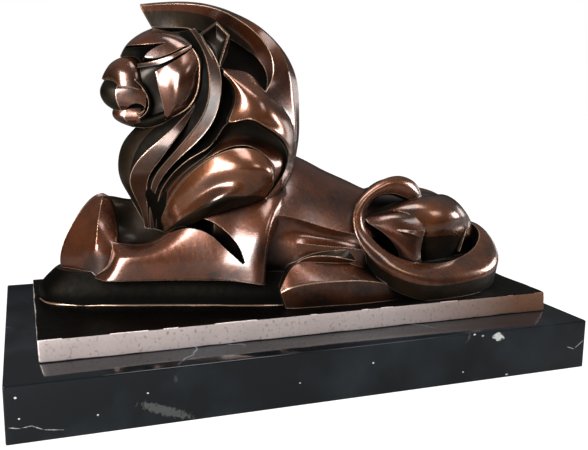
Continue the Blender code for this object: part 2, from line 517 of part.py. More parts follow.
def eye_cutters():
    """The slanting socket under each brow, which narrows to a slot behind."""
    lid = [(-126, -8, 188), (-111, -21, 187.5), (-102, -27, 188), (-91, -31, 189)]
    lower = [(-126, -8, 170), (-117, -14, 170), (-109, -20.5, 173), (-103, -26, 181.5),
             (-91, -31, 188.4)]
    deep_lid = [(-122, -3, 186), (-109, -7, 186), (-101, -16, 187), (-91, -26, 188.9)]
    deep_low = [(-122, -3, 168), (-112, -7, 168), (-103, -16, 180), (-91, -26, 188.2)]
    outer_lid = moved(lid, (0, -12, 2))
    outer_low = moved(lower, (0, -12, -2))
    return pair("eye", [outer_lid, lid, deep_lid, deep_low, lower, outer_low],
                sharp=(0, 1, 2, 3, 4, 5), across=1, along=7)


def snout():
    """The broad bridge of the nose, which overhangs the muzzle."""
    top = [(-134.2, 0, 163.5), (-133, 0, 166.6), (-130.6, 0, 170.8), (-127.3, 0, 174.8),
           (-121, 0, 178.6), (-112, 0, 180), (-104, 0, 178.5)]
    upper = [(-133.8, -1.5, 163.6), (-131.5, -5.5, 166.5), (-128.6, -8.5, 170), (-124.6, -10, 173.6),
             (-118.5, -11, 176.3), (-111, -11.5, 177), (-104, -9, 175)]
    side = [(-133.5, -2.5, 163.6), (-130, -8, 165.4), (-126.2, -12, 167), (-122, -15, 168.5),
            (-116, -16.8, 169.2), (-110, -16.6, 169), (-103, -12, 167)]
    hem = [(-133.4, -3, 163.6), (-130.5, -7, 163.7), (-126.8, -11.6, 163.4), (-124.2, -14.3, 160.4),
           (-121.5, -16.6, 158.3), (-115, -19, 157.6), (-109, -19, 156), (-102, -13, 155.5)]
    under = [(-131, 0, 160), (-127, 0, 158), (-123, 0, 156), (-119, 0, 155), (-112, 0, 154),
             (-103, 0, 153)]
    return [loft("snout", [top, upper, side, hem, under], sharp=(3, 4), whole=True, along=8)]


def muzzle():
    """The lips: a blunt block with a round front, a flat panel beside it and a sharp rear edge."""
    front = [(-126.5, 0, 141), (-131.5, 0, 144.5), (-135, 0, 149.5), (-135.6, 0, 156), (-132, 0, 163)]
    nose = [(-125, -7, 140.8), (-129.5, -9, 145), (-132, -9.5, 151), (-131.8, -9.5, 157),
            (-128, -7.5, 163)]
    corner = [(-121.5, -11.5, 140.8), (-123.5, -14.2, 144.5), (-125.2, -15, 151), (-124.4, -14.8, 157),
              (-121, -10, 162)]
    panel = [(-115, -14, 140), (-114.5, -17.2, 145), (-114, -18.2, 151), (-114, -18, 157),
             (-114, -12, 162)]
    rear = [(-109, -16, 136), (-105.5, -19.3, 141), (-104.2, -20, 149), (-106, -19, 156),
            (-109, -12, 161)]
    inner = [(-100, 0, 136), (-100, 0, 143), (-100, 0, 150), (-100, 0, 156), (-100, 0, 161)]
    block = loft("muzzle", [front, nose, corner, panel, rear, inner], sharp=(2, 4, 5), whole=True,
                 along=6)
    for cutter in mouth_cutters():
        undercut(block, cutter, "mouth")
    return [block]


def jawline():
    """The edge of the jaw, from behind the cheek down to the chin."""
    rim = [(-70.5, -30.5, 145), (-77.2, -29.5, 141.3), (-87.2, -26.5, 135), (-95.2, -22.5, 130.7),
           (-104, -17.5, 128.2), (-113, -11, 128.6)]
    side = [(-72, -31, 149), (-79, -30.5, 145.5), (-88.5, -27.5, 139.5), (-96.5, -23.5, 135.5),
            (-105, -18, 132.6), (-113.5, -11.5, 131.5)]
    deep = [(-70, -14, 150), (-78, -12, 146), (-88, -10, 141), (-96, -8, 138), (-104, -6, 136),
            (-112, -4, 134)]
    return pair("jawline", [rim, side, deep, moved(rim, (0, 12, 3))], sharp=(0, 2, 3), across=1,
                along=6)


def jaw():
    """The lower lip and chin."""
    front = [(-113, 0, 128), (-121, 0, 131), (-126, 0, 134.5), (-127.5, 0, 138), (-126.5, 0, 142)]
    flat = [(-112, -6, 128.3), (-119, -9, 131.5), (-123.5, -10, 135), (-124.5, -10, 138),
            (-123.5, -9, 142)]
    corner = [(-110, -9, 128.6), (-116, -12, 131.8), (-119.5, -13, 135), (-119.5, -13, 138.5),
              (-118.5, -12.5, 142)]
    rear = [(-106, -12, 129.5), (-108.5, -15, 132.5), (-108.5, -16.5, 136), (-108, -16.5, 139),
            (-108, -15, 142)]
    inner = [(-98, 0, 129), (-98, 0, 132), (-98, 0, 136), (-98, 0, 139), (-98, 0, 142)]
    return [loft("jaw", [front, flat, corner, rear, inner], sharp=(2, 3, 4), whole=True, along=6)]


def mouth_cutters():
    """The drilled corner of the mouth."""
    lip = [(-119, -15, 141), (-113.5, -20, 145.8), (-108, -22, 146), (-105, -22, 143)]
    low = [(-119, -15, 140.5), (-115, -20, 137.8), (-109.5, -22, 138.2), (-105, -22, 142)]
    deep = moved(between(lip, low, 0.5), (0, 9, 0))
    out = moved(between(lip, low, 0.5), (0, -8, 0))
    return pair("mouth", [out, lip, deep, low], along=6)


def bronze():
    """The look of brown patinated bronze."""
    return finish("brown_bronze", (0.16, 0.065, 0.035), 0.32, 1.0)


def marble():
    """The look of polished black marble."""
    return finish("black_marble", (0.012, 0.013, 0.016), 0.14, 0.0)


def finish(name, colour, roughness, metallic):
    """One plain material."""
    material = bpy.data.materials.new(name)
    material.use_nodes = True
    shader = material.node_tree.nodes["Principled BSDF"]
    shader.inputs["Base Color"].default_value = (*colour, 1)
    shader.inputs["Roughness"].default_value = roughness
    shader.inputs["Metallic"].default_value = metallic
    return material


def slab(name, size, edge, low):
    """A block with eased edges, standing at the height low."""
    mesh = bpy.data.meshes.new(name)
    block = bmesh.new()
    bmesh.ops.create_cube(block, size=1.0)
    bmesh.ops.scale(block, vec=size, verts=block.verts)
    bmesh.ops.translate(block, vec=(0, 0, low + size[2] / 2), verts=block.verts)
    bmesh.ops.bevel(block, geom=block.edges, offset=edge, segments=2, affect="EDGES", profile=0.5)
    block.to_mesh(mesh)
    block.free()
    piece = bpy.data.objects.new(name, mesh)
    bpy.context.scene.collection.objects.link(piece)
    return piece


def fuse(target, pieces):
    """Joins the pieces to the target as one solid, and takes them away."""
    group = bpy.data.collections.new("forms")
    bpy.context.scene.collection.children.link(group)
    for piece in pieces:
        group.objects.link(piece)
    step = target.modifiers.new("union", "BOOLEAN")
    step.operation = "UNION"
    step.operand_type = "COLLECTION"
    step.collection = group
    step.solver = "MANIFOLD"
    depsgraph = bpy.context.evaluated_depsgraph_get()
    target.data = bpy.data.meshes.new_from_object(target.evaluated_get(depsgraph))
    target.modifiers.clear()
    fill_pockets(target.data)
    for piece in pieces:
        bpy.data.objects.remove(piece, do_unlink=True)
    bpy.data.collections.remove(group)


def fill_pockets(mesh):
    """Cuts the faces into triangles and fills the small hollows closed in between the forms: only
    the largest shell is kept."""
    solid = bmesh.new()
    solid.from_mesh(mesh)
    bmesh.ops.triangulate(solid, faces=solid.faces)
    waiting = set(solid.faces)
    shells = []
    while waiting:
        shell = [waiting.pop()]
        for face in shell:
            beside = {other for edge in face.edges for other in edge.link_faces} & waiting
            waiting -= beside
            shell.extend(beside)
        shells.append(shell)
    shells.sort(key=len)
    inner = [face for shell in shells[:-1] for face in shell]
    bmesh.ops.delete(solid, geom=inner, context="FACES")
    solid.to_mesh(mesh)
    solid.free()


def lion_forms():
    """Every form that is joined into the figure."""
    forms = []
    for make in (base_mass, torso, haunch, shank, hind_foot, tail, foreleg, paw, cradle, neck,
                 chest, crest, ear, locks, swirl, hollow_lock, shoulder_knob, cheek, cheekbone, skull,
                 brow, snout, muzzle, jawline, jaw):
        forms += make()
    return forms


def build():
    """Makes the plinth and the casting."""
    for old in list(bpy.data.objects):
        bpy.data.objects.remove(old, do_unlink=True)
    plinth = slab("marble_base", (PLINTH_LENGTH, PLINTH_WIDTH, PLINTH_HEIGHT), PLINTH_EDGE, 0)
    plinth.data.materials.append(marble())
    seat = PLINTH_HEIGHT + SEAT_GAP
    lion = slab("bronze_lion", (PLATE_LENGTH, PLATE_WIDTH, PLATE_HEIGHT), PLATE_EDGE, seat)
    lion.data.transform(Matrix.Translation((PLATE_RIGHT, -PLATE_FORWARD, 0)))
    lion.data.materials.append(bronze())
    forms = lion_forms()
    cutters = [step.object for form in forms for step in form.modifiers]
    for piece in forms + cutters:
        piece.location = (0, -LION_FORWARD, seat + PLATE_HEIGHT)
        piece.rotation_euler = (0, 0, LION_TURN)
    fuse(lion, forms)
    for cutter in cutters:
        bpy.data.objects.remove(cutter, do_unlink=True)
    return plinth, lion


build()
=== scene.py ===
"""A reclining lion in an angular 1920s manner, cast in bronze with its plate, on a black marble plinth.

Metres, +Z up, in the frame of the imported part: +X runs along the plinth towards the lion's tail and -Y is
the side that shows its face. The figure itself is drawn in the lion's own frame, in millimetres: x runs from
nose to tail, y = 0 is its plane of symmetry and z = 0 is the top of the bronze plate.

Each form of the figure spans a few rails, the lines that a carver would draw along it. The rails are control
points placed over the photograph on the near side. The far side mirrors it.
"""

import json
import logging
import math
from dataclasses import dataclass
from enum import Enum, IntEnum
from typing import Any, Iterable, Optional, Sequence

import bmesh
import bpy
import numpy as np
from mathutils import Matrix, Vector, noise

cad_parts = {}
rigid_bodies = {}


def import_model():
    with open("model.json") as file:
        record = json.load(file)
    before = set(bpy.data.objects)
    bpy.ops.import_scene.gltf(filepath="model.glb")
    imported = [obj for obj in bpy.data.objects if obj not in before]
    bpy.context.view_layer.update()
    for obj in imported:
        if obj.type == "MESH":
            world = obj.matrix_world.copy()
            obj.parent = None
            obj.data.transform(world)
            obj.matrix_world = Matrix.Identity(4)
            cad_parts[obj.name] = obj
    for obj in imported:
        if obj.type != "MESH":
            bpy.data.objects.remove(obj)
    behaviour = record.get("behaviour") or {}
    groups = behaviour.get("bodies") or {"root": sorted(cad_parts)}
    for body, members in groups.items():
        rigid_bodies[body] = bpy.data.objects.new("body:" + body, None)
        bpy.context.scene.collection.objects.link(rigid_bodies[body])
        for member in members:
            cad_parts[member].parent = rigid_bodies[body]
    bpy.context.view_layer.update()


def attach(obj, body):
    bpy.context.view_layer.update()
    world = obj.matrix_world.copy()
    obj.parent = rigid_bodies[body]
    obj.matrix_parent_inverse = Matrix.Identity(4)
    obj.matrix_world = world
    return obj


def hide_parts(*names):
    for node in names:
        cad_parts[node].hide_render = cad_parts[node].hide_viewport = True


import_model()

log = logging.getLogger("lion")

Point = tuple[float, float, float]
Rail = Sequence[Point]
Span = tuple[float, float]

MM = 0.001
TINY = 1e-9  # millimetres that count as nothing
MERGED = 0.02  # millimetres within which two points become one
RAIL_DETAIL = 24  # places at which a rail is measured, for each point that draws it
FEWEST_STEPS = 6  # along a form
STRIP_WIDTH = 1.4  # of the strips across a form, in its steps
ARC_SHARE = 0.4  # of a strip that a rubbed edge may take


class Side(Enum):
    """Where a form of the figure stands."""

    MIDDLE = "drawn for the near half, and mirrored into one body"
    PAIR = "a near body and its mirror image"
    NEAR = "one body, on the near side or across the middle"


class Patina(Enum):
    """How the patina lies on a form, as the name of its finish. The olive and ground finishes also paint
    shade, and the edge finish paints highlights.
    """

    BROWN = "patinated_bronze"
    OLIVE = "patinated_bronze_olive_and_shade"
    GROUND = "patinated_bronze_ground_and_shade"
    LOCK = "patinated_bronze_lock"
    RUBBED = "patinated_bronze_rubbed"
    EDGE = "patinated_bronze_edge_and_highlight"


class WearAndLight(IntEnum):
    """How a strip of a form's faces is finished, as the number of its material: plain, a rubbed edge that is
    also a painted highlight line, or thick patina that is also painted shade.
    """

    PLAIN = 0
    EDGE = 1
    DEEP = 2


def linear(code: str) -> tuple[float, float, float, float]:
    """Turns a colour of the screen into the linear light that a shader needs.

    Args:
        code: The colour as six hex digits, in sRGB.

    Returns:
        Its linear red, green, blue and an alpha of one.
    """
    shares = [int(code[i:i + 2], 16) / 255 for i in (0, 2, 4)]
    light = [c / 12.92 if c <= 0.04045 else ((c + 0.055) / 1.055) ** 2.4 for c in shares]
    return light[0], light[1], light[2], 1.0


def natural_cubic(knots: np.ndarray, values: np.ndarray, at: np.ndarray) -> np.ndarray:
    """Reads the smooth curve through some values.

    Args:
        knots: Where along the curve each value lies.
        values: One row of numbers for each knot.
        at: The places to read.

    Returns:
        One row of numbers for each place.
    """
    count = len(knots)
    gaps = np.diff(knots)
    slopes = np.diff(values, axis=0) / gaps[:, None]
    matrix = np.eye(count)
    right = np.zeros_like(values)
    for i in range(1, count - 1):
        matrix[i, i - 1:i + 2] = gaps[i - 1], 2 * (gaps[i - 1] + gaps[i]), gaps[i]
        right[i] = 3 * (slopes[i] - slopes[i - 1])
    bend = np.linalg.solve(matrix, right)
    first = slopes - gaps[:, None] * (2 * bend[:-1] + bend[1:]) / 3
    third = np.diff(bend, axis=0) / (3 * gaps[:, None])
    span = np.clip(np.searchsorted(knots, at, "right") - 1, 0, count - 2)
    t = (at - knots[span])[:, None]
    return values[span] + t * (first[span] + t * (bend[span] + t * third[span]))


def drawn(points: Rail, count: int) -> np.ndarray:
    """Draws a smooth rail through a few points.

    Args:
        points: The points that the rail passes, in millimetres.
        count: How many even steps it is cut into.

    Returns:
        The rail's points, one row each.
    """
    passed = np.array(points, float)
    chords = np.linalg.norm(np.diff(passed, axis=0), axis=1)
    knots = np.concatenate([[0], np.cumsum(np.sqrt(np.maximum(chords, TINY)))])
    fine = natural_cubic(knots, passed, np.linspace(0, knots[-1], RAIL_DETAIL * len(passed)))
    run = np.concatenate([[0], np.cumsum(np.linalg.norm(np.diff(fine, axis=0), axis=1))])
    at = np.linspace(0, run[-1], count)
    return np.stack([np.interp(at, run, fine[:, k]) for k in range(3)], axis=1)


def moved(points: Rail, by: Point) -> list[Point]:
    """The points of a rail, moved by one step."""
    return [tuple(np.add(point, by)) for point in points]


def backed(last: Rail, first: Rail, by: Point) -> tuple[list[Point], list[Point]]:
    """The two rails that close a thin form behind its last and its first."""
    return moved(last, by), moved(first, by)


def between(first: Rail, second: Rail, share: float, by: Point = (0, 0, 0)) -> list[Point]:
    """A rail between two others that have as many points, moved by one step."""
    return [tuple(np.array(a) * (1 - share) + np.array(b) * share + by)
            for a, b in zip(first, second)]


@dataclass(frozen=True)
class Form:
    """One closed swelling of the figure: sections that span a few rails side by side.

    Attributes:
        name: Its name.
        rails: The edges and swells that a carver would draw, in millimetres.
        crisp: The rails that are edges. The sections are smooth over the others.
        side: Where it stands.
        step: How far apart its points lie, in millimetres.
        ease: The radius that the edges are rubbed down to, in millimetres.
        sunk: The edges that lie inside other forms and stay as they are.
        cuts: Forms that are taken out of it.
        patina: How the patina lies on it.
        deep: The rails after which the patina lies thick, up to the next rail; in recesses and undersides
            these dark strips also paint the shade that falls there.
    """

    name: str
    rails: Sequence[Rail]
    crisp: tuple[int, ...] = ()
    side: Side = Side.PAIR
    step: float = 1.8
    ease: float = 0.45
    sunk: tuple[int, ...] = ()
    cuts: tuple["Form", ...] = ()
    patina: Patina = Patina.BROWN
    deep: tuple[int, ...] = ()

    def skin(self) -> tuple[np.ndarray, list[WearAndLight]]:
        """Works out the rows of points that lie round the form.

        Returns:
            An array of rows, steps and coordinates, and the finish of the strip after each row.
        """
        lengths = [np.linalg.norm(np.diff(np.array(r, float), axis=0), axis=1).sum() for r in self.rails]
        steps = max(FEWEST_STEPS, round(max(lengths) / self.step))
        rails = np.stack([drawn(points, steps) for points in self.rails])
        crisp = set(self.crisp)
        eased = crisp - set(self.sunk)
        deep = set(self.deep)
        if self.side is Side.MIDDLE:
            last = 2 * (len(rails) - 1)
            crisp |= {last - i for i in crisp if 0 < i < len(rails) - 1}
            eased |= {last - i for i in eased if 0 < i < len(rails) - 1}
            deep |= {last - i - 1 for i in deep}
            rails = np.concatenate([rails, rails[1:-1][::-1] * (1, -1, 1)])
        return self.spanned(rails, sorted(crisp), eased, deep)

    def spanned(self, rails: np.ndarray, crisp: list[int], eased: set[int],
                deep: set[int]) -> tuple[np.ndarray, list[WearAndLight]]:
        """Lays sections over the rails.

        Args:
            rails: The rails, all cut into as many steps.
            crisp: The rails that are edges.
            eased: The edges that are rubbed round.
            deep: The rails after which the patina lies thick, with painted shade.

        Returns:
            An array of rows, steps and coordinates, and the finish of the strip after each row.
        """
        count, steps = rails.shape[:2]
        flat = rails.reshape(count, -1)
        if crisp:
            runs = [([i % count for i in range(a, b + 1)], 0, b - a)
                    for a, b in zip(crisp, crisp[1:] + [crisp[0] + count])]
        else:
            runs = [([i % count for i in range(-3, count + 4)], 3, 3 + count)]
        rows = []
        edges = []
        wear_and_light = []
        for order, start, stop in runs:
            chords = np.linalg.norm(np.diff(rails[order], axis=0), axis=2)
            knots = np.concatenate([[0], np.cumsum(np.maximum(chords.mean(axis=1), TINY))])
            at = []
            for k in range(start, stop):
                parts = max(1, round(float(chords[k].max()) / (STRIP_WIDTH * self.step)))
                at.append(np.linspace(knots[k], knots[k + 1], parts, endpoint=False))
                # A strip after a deep rail takes the olive finish: thick patina with painted shade.
                wear_and_light += [WearAndLight.DEEP if order[k] in deep else WearAndLight.PLAIN] * parts
            rows.append(natural_cubic(knots, flat[order], np.concatenate(at)))
            edges += [bool(crisp) and order[0] in eased] + [False] * (len(rows[-1]) - 1)
        skin = np.concatenate(rows).reshape(-1, steps, 3)
        return self.rubbed(skin, edges, wear_and_light)

    def rubbed(self, skin: np.ndarray, edges: list[bool],
               wear_and_light: list[WearAndLight]) -> tuple[np.ndarray, list[WearAndLight]]:
        """Turns each edge into three rows on a small arc.

        Args:
            skin: The rows of points.
            edges: Which rows are edges.
            wear_and_light: The finish of the strip after each row, rubbed edges with painted highlights and
                deep strips with painted shade.

        Returns:
            The rows with the arcs put in, and the finish of the strip after each.
        """
        rows = []
        worn_and_lit = []
        count = len(skin)
        for j, edge in enumerate(edges):
            if not edge:
                rows.append(skin[j])
                worn_and_lit.append(wear_and_light[j])
                continue
            sides = []
            for k in (j - 1, (j + 1) % count):
                way = skin[k] - skin[j]
                far = np.linalg.norm(way, axis=1, keepdims=True)
                reach = np.minimum(self.ease, ARC_SHARE * far)
                sides.append(skin[j] + way / np.maximum(far, TINY) * reach)
            rows += [sides[0], (sides[0] + 2 * skin[j] + sides[1]) / 4, sides[1]]
            # The arc's strips take the pale edge finish: rubbed metal with a painted highlight.
            worn_and_lit += [WearAndLight.EDGE, WearAndLight.EDGE, wear_and_light[j]]
        return np.stack(rows), worn_and_lit

    def bodies(self) -> list[bpy.types.Object]:
        """Makes the form's meshes, with its cuts as steps that are still to be done.

        Returns:
            The near body and, for a pair, the far one.
        """
        skin, worn_and_lit = self.skin()
        wear_and_light = np.repeat(np.array(worn_and_lit)[:, None], skin.shape[1] - 1, axis=1)
        cutters = [cut.bodies() for cut in self.cuts]
        made = [closed(self.name, skin, wear_and_light)]
        if self.side is Side.PAIR:
            made.append(closed(self.name + "_far", skin * (1, -1, 1), wear_and_light))
            for pair in cutters:
                for body, cutter in zip(made, pair):
                    undercut(body, cutter)
        else:
            for cutter in [one for pair in cutters for one in pair]:
                undercut(made[0], cutter)
        for body in made:
            body["patina"] = self.patina.value
        return made


def linked(name: str, data: bpy.types.ID) -> bpy.types.Object:
    """Puts a mesh, a light or a camera into the scene.

    Args:
        name: The name of the object that holds it.
        data: What it holds.

    Returns:
        The object.
    """
    made = bpy.data.objects.new(name, data)
    bpy.context.scene.collection.objects.link(made)
    return made


def closed(name: str, skin: np.ndarray, wear_and_light: np.ndarray) -> bpy.types.Object:
    """Makes a closed body from rows of points, which lie round it.

    Args:
        name: The body's name.
        skin: An array of rows, steps and coordinates, in millimetres.
        wear_and_light: The finish of each face, an array of rows and steps less one.

    Returns:
        The body, in metres.
    """
    around, steps = skin.shape[:2]
    faces = [(j * steps + i, (j + 1) % around * steps + i,
              (j + 1) % around * steps + i + 1, j * steps + i + 1)
             for j in range(around) for i in range(steps - 1)]
    faces += [[j * steps for j in range(around)],
              [j * steps + steps - 1 for j in reversed(range(around))]]
    mesh = bpy.data.meshes.new(name)
    mesh.from_pydata((skin.reshape(-1, 3) * MM).tolist(), [], faces)
    for face, kind in zip(mesh.polygons, [*wear_and_light.ravel(), WearAndLight.DEEP, WearAndLight.DEEP]):
        face.material_index = int(kind)
    form = bmesh.new()
    form.from_mesh(mesh)
    bmesh.ops.remove_doubles(form, verts=form.verts, dist=MERGED * MM)
    bmesh.ops.dissolve_degenerate(form, edges=form.edges, dist=MERGED / 2 * MM)
    bmesh.ops.poke(form, faces=[face for face in form.faces if len(face.verts) > 4])
    bmesh.ops.recalc_face_normals(form, faces=form.faces)
    form.to_mesh(mesh)
    form.free()
    return linked(name, mesh)


def undercut(body: bpy.types.Object, cutter: bpy.types.Object) -> None:
    """Takes a cutter out of a body.

    Args:
        body: The body to cut.
        cutter: The shape to take out.
    """
    step = body.modifiers.new(cutter.name, "BOOLEAN")
    step.operation = "DIFFERENCE"
    step.solver = "EXACT"
    step.material_mode = "TRANSFER"
    step.object = cutter


@dataclass(frozen=True)
class Trunk:
    """The low mass under the body, and the back, flanks and rump with a ridge along each flank."""

    # The outline of the base mass, then its spread along and across at some heights, and that of the bead.
    prow: Rail = ((-184, 0, 0), (-178, -14, 0), (-169, -21, 0), (-136, -32, 0), (-66, -49, 0), (-20, -61, 0),
                  (30, -64, 0), (100, -60, 0), (150, -48, 0), (178, -25, 0), (184, 0, 0))
    tiers: tuple[Point, ...] = ((1, 1, -3), (1.008, 1, 4), (1.008, 1, 9), (0.985, 0.95, 16), (0.94, 0.88, 24))
    fillet: tuple[Point, ...] = ((1.009, 1.009, -1), (1.009, 1.009, 0.1), (1.006, 1, 0.6), (0.99, 0.97, 0.6),
                                 (0.99, 0.97, -1))
    # The torso, from the back down to the ground.
    spine: Rail = ((-60, 0, 95), (-10, 0, 107), (14, 0, 104.5), (35, 0, 94), (57, 0, 84), (75, 0, 76),
                   (100, 0, 73), (129, 0, 72), (146, 0, 68), (158, 0, 62), (170, 0, 49), (179, 0, 28))
    upper: Rail = ((-60, -30, 85), (-10, -34, 93), (14, -33, 92), (35, -33, 83), (57, -33, 75), (75, -32, 70),
                   (100, -30, 67), (129, -28, 65), (146, -24, 61), (158, -19, 54), (169, -12, 42),
                   (178, -7, 26))
    ridge: Rail = ((-60, -48, 70), (-10, -56, 66), (5, -57, 62), (26, -57.5, 55), (40, -58.5, 51.5),
                   (52, -61, 49), (63, -53, 46.5), (80, -42, 45), (129, -38, 44), (146, -34, 42),
                   (158, -27, 38), (168, -18, 31), (177, -10, 22))
    scoop: Rail = ((-60, -46, 55), (-10, -53, 56), (5, -54, 52), (26, -54, 47), (40, -57, 45),
                   (52, -62, 43.5), (63, -50, 42), (80, -39, 40), (129, -36, 36), (146, -32, 33),
                   (158, -25, 29), (168, -17, 24), (177, -9, 18))
    hem: Rail = ((-60, -42, 46), (-10, -54, 46), (5, -60, 45), (26, -60.5, 42), (40, -62, 40.5),
                 (52, -65, 38.5), (63, -53, 35), (80, -41, 32), (129, -38, 28), (146, -34, 25),
                 (158, -27, 21), (168, -18, 17), (177, -9, 14))
    foot: Rail = ((-60, -38, 8), (-10, -44, 8), (5, -48, 8), (26, -52, 8), (42, -52, 8), (60, -48, 8),
                  (80, -40, 8), (129, -38, 8), (146, -34, 8), (158, -28, 8), (168, -19, 8), (177, -10, 8))

    def forms(self) -> list[Form]:
        """The base mass with a thin bright bead round its foot, whose brightness is a painted highlight, and
        the torso.
        """
        base = [[(x * long, y * wide, high) for long, wide, high in self.tiers] for x, y, _ in self.prow]
        bead = [[(x * long, y * wide, high) for x, y, _ in self.prow] for long, wide, high in self.fillet]
        floor = [(x, 0, 4) for x, _, _ in self.foot]
        torso = (self.spine, self.upper, self.ridge, self.scoop, self.hem, self.foot, floor)
        return [Form("base_mass", base, (0, 10), Side.MIDDLE, step=3.0, sunk=(0, 10), patina=Patina.GROUND),
                # The bead takes the pale edge finish: a painted highlight line where the base meets the
                # plate.
                Form("bead", bead, (0, 1, 2, 3, 4), step=2.4, sunk=(0, 1, 2, 3, 4), patina=Patina.EDGE),
                Form("torso", torso, (2, 4, 6), Side.MIDDLE, step=3.0, sunk=(2, 4, 6))]


@dataclass(frozen=True)
class Hindquarters:
    """The haunch, the blade of the thigh before it with a fold at the hock, and the long hind foot."""

    haunch_top: Rail = ((74, -30, 64), (88, -32, 69), (104, -32, 72), (124, -24, 73), (143, -12, 70),
                        (156, -10, 60), (164, -12, 48))
    haunch_swell: Rail = ((76, -44, 60), (88, -51, 61), (104, -56, 62), (122, -55.5, 61.5), (138, -48, 57.5),
                          (148, -38, 52), (154, -30, 46))
    ledge: Rail = ((80, -42, 52), (90, -50, 51), (104, -57, 50), (120, -56.5, 50), (135, -48, 48),
                   (146, -38, 44), (153, -30, 38))
    haunch_under: Rail = ((82, -40, 46), (92, -48, 46), (104, -54.5, 45), (119, -54, 45), (134, -46, 43),
                          (145, -36.5, 39), (152, -29, 34))
    haunch_wall: Rail = ((84, -34, 10), (92, -42, 10), (104, -47, 10), (118, -46, 10), (132, -40, 10),
                         (142, -33, 10), (149, -26, 10))
    haunch_floor: Rail = ((82, -20, 10), (92, -16, 10), (104, -14, 10), (120, -10, 10), (135, -6, 10),
                          (146, -4, 10), (153, -4, 10))
    haunch_back: Rail = ((78, -24, 58), (90, -20, 60), (104, -14, 62), (122, -6, 64), (143, 0, 62),
                         (154, 0, 52), (162, -2, 44))
    shank_front: Rail = ((103, -38, 69.6), (88, -38, 67), (72, -39, 64.4), (62, -46, 63), (55.5, -52, 59.6),
                         (64.5, -56, 52.6), (73.8, -58, 44.6), (79.4, -58, 36.8), (81.5, -58, 31.7),
                         (83, -58, 12))
    shank_swell: Rail = ((105, -39, 69.4), (96, -42, 67), (89, -48, 65), (84, -52.3, 62.5), (82, -55, 59),
                         (82, -57.5, 52), (86.5, -60, 45), (89.5, -61.5, 37), (90.5, -62, 31.7),
                         (92, -61, 12))
    shank_rear: Rail = ((107, -40, 69), (106.5, -45, 67), (106, -50, 64.5), (105.5, -54.4, 61),
                        (104, -56, 57), (102.5, -58, 51.5), (100, -60, 46), (99, -59, 38), (99.5, -58, 32),
                        (102, -57, 12))
    shank_inner: Rail = ((100, -20, 66), (100, -20, 64), (100, -20, 61), (100, -21, 58), (99, -22, 55),
                         (97, -24, 50), (94, -26, 45), (94, -28, 38), (95, -30, 32), (96, -32, 12))
    hock_upper: Rail = ((78.5, -57, 52.2), (84, -59.5, 52.2), (92, -61, 51.8), (101, -59.5, 51.2))
    hock_lower: Rail = ((79, -57.5, 51.6), (85, -61.5, 50.4), (92, -63, 48.6), (98.5, -61.5, 45.8))
    hock_inner: Rail = ((80, -52, 51), (86, -52, 49), (92, -52, 47), (98, -52, 45))
    seam_left: Rail = ((149.0, -37.5, 47), (146.4, -38, 38), (143.9, -38, 29.5), (143.2, -38, 27.5))
    seam_right: Rail = ((149.9, -37, 47), (147.3, -37.5, 38), (144.9, -37.5, 29.5), (144.8, -37.5, 27.5))
    foot_ridge: Rail = ((-16, -71, 12), (-9, -74, 16), (5, -75, 18.5), (25, -75, 19), (45, -74, 18),
                        (66, -71, 14), (84, -66, 9))
    foot_brow: Rail = ((-16, -70, 14), (-9, -67, 26), (0, -63.5, 31.5), (21, -60, 31.5), (42, -58, 30),
                       (60, -58, 22), (82, -58, 12))
    swell_top: Rail = ((-8, -56, 24), (-0.2, -60, 31), (8.3, -60.5, 36.1), (18.9, -61, 38.3),
                       (30.7, -61, 38.9), (43.4, -60.5, 38.7), (58, -54, 34))
    swell_ridge: Rail = ((-10, -60, 22), (-3.1, -64, 31), (4.7, -65, 35.6), (14.5, -65, 36.5),
                         (26.9, -65, 35.2), (39.5, -64, 31.9), (55, -58, 27))
    swell_low: Rail = ((-9, -56, 21), (-2, -60, 29), (5.8, -61, 29.8), (15.7, -61, 29.5), (28.2, -61, 29.1),
                       (40.8, -60, 28.4), (56, -54, 25))
    foot_inner: Rail = ((-13, -50, 14), (-8, -46, 24), (0, -44, 30), (21, -44, 30), (42, -44, 28),
                        (60, -44, 20), (80, -44, 10))
    sole: Rail = ((-11, -70, -2), (-5, -72, -2), (5, -72, -2), (25, -72, -2), (45, -72, -2), (66, -70, -2),
                  (84, -66, -2))

    def forms(self) -> list[Form]:
        """The haunches, the thighs' blades with a fold and a seam, and the swelling hind feet."""
        haunch = (self.haunch_top, self.haunch_swell, self.ledge, self.haunch_under, self.haunch_wall,
                  self.haunch_floor, self.haunch_back)
        shank = (self.shank_front, self.shank_swell, self.shank_rear, self.shank_inner)
        sole_in = [(x, y, -2) for x, y, _ in self.foot_inner]
        foot = (self.foot_ridge, self.foot_brow, self.foot_inner, sole_in, self.sole)
        fold = (self.hock_upper, self.hock_lower, self.hock_inner)
        inward = (0, 12, 0)
        seam = (self.seam_left, self.seam_right, *backed(self.seam_right, self.seam_left, inward))
        swell = (self.swell_top, self.swell_ridge, self.swell_low,
                 *backed(self.swell_low, self.swell_top, inward))
        # Below the haunch's ledge the olive strips are painted shade as well as thick patina.
        return [Form("haunch", haunch, (4, 5, 6), sunk=(4, 5, 6), patina=Patina.RUBBED, deep=(3, 4)),
                Form("shank", shank, (0, 2, 3), sunk=(2, 3)),
                Form("hock_fold", fold, (0, 1, 2), step=1.2, ease=0.2, sunk=(2,)),
                # The seam is a thin strip in the pale edge finish: a painted highlight line.
                Form("seam", seam, (0, 1, 2, 3), step=1.2, ease=0.3, sunk=(2, 3), patina=Patina.EDGE),
                Form("foot_swell", swell, (0, 1, 2, 3, 4), sunk=(0, 2, 3, 4), deep=(0,)),
                Form("hind_foot", foot, (0, 1, 2, 3, 4), sunk=(1, 2, 3, 4))]


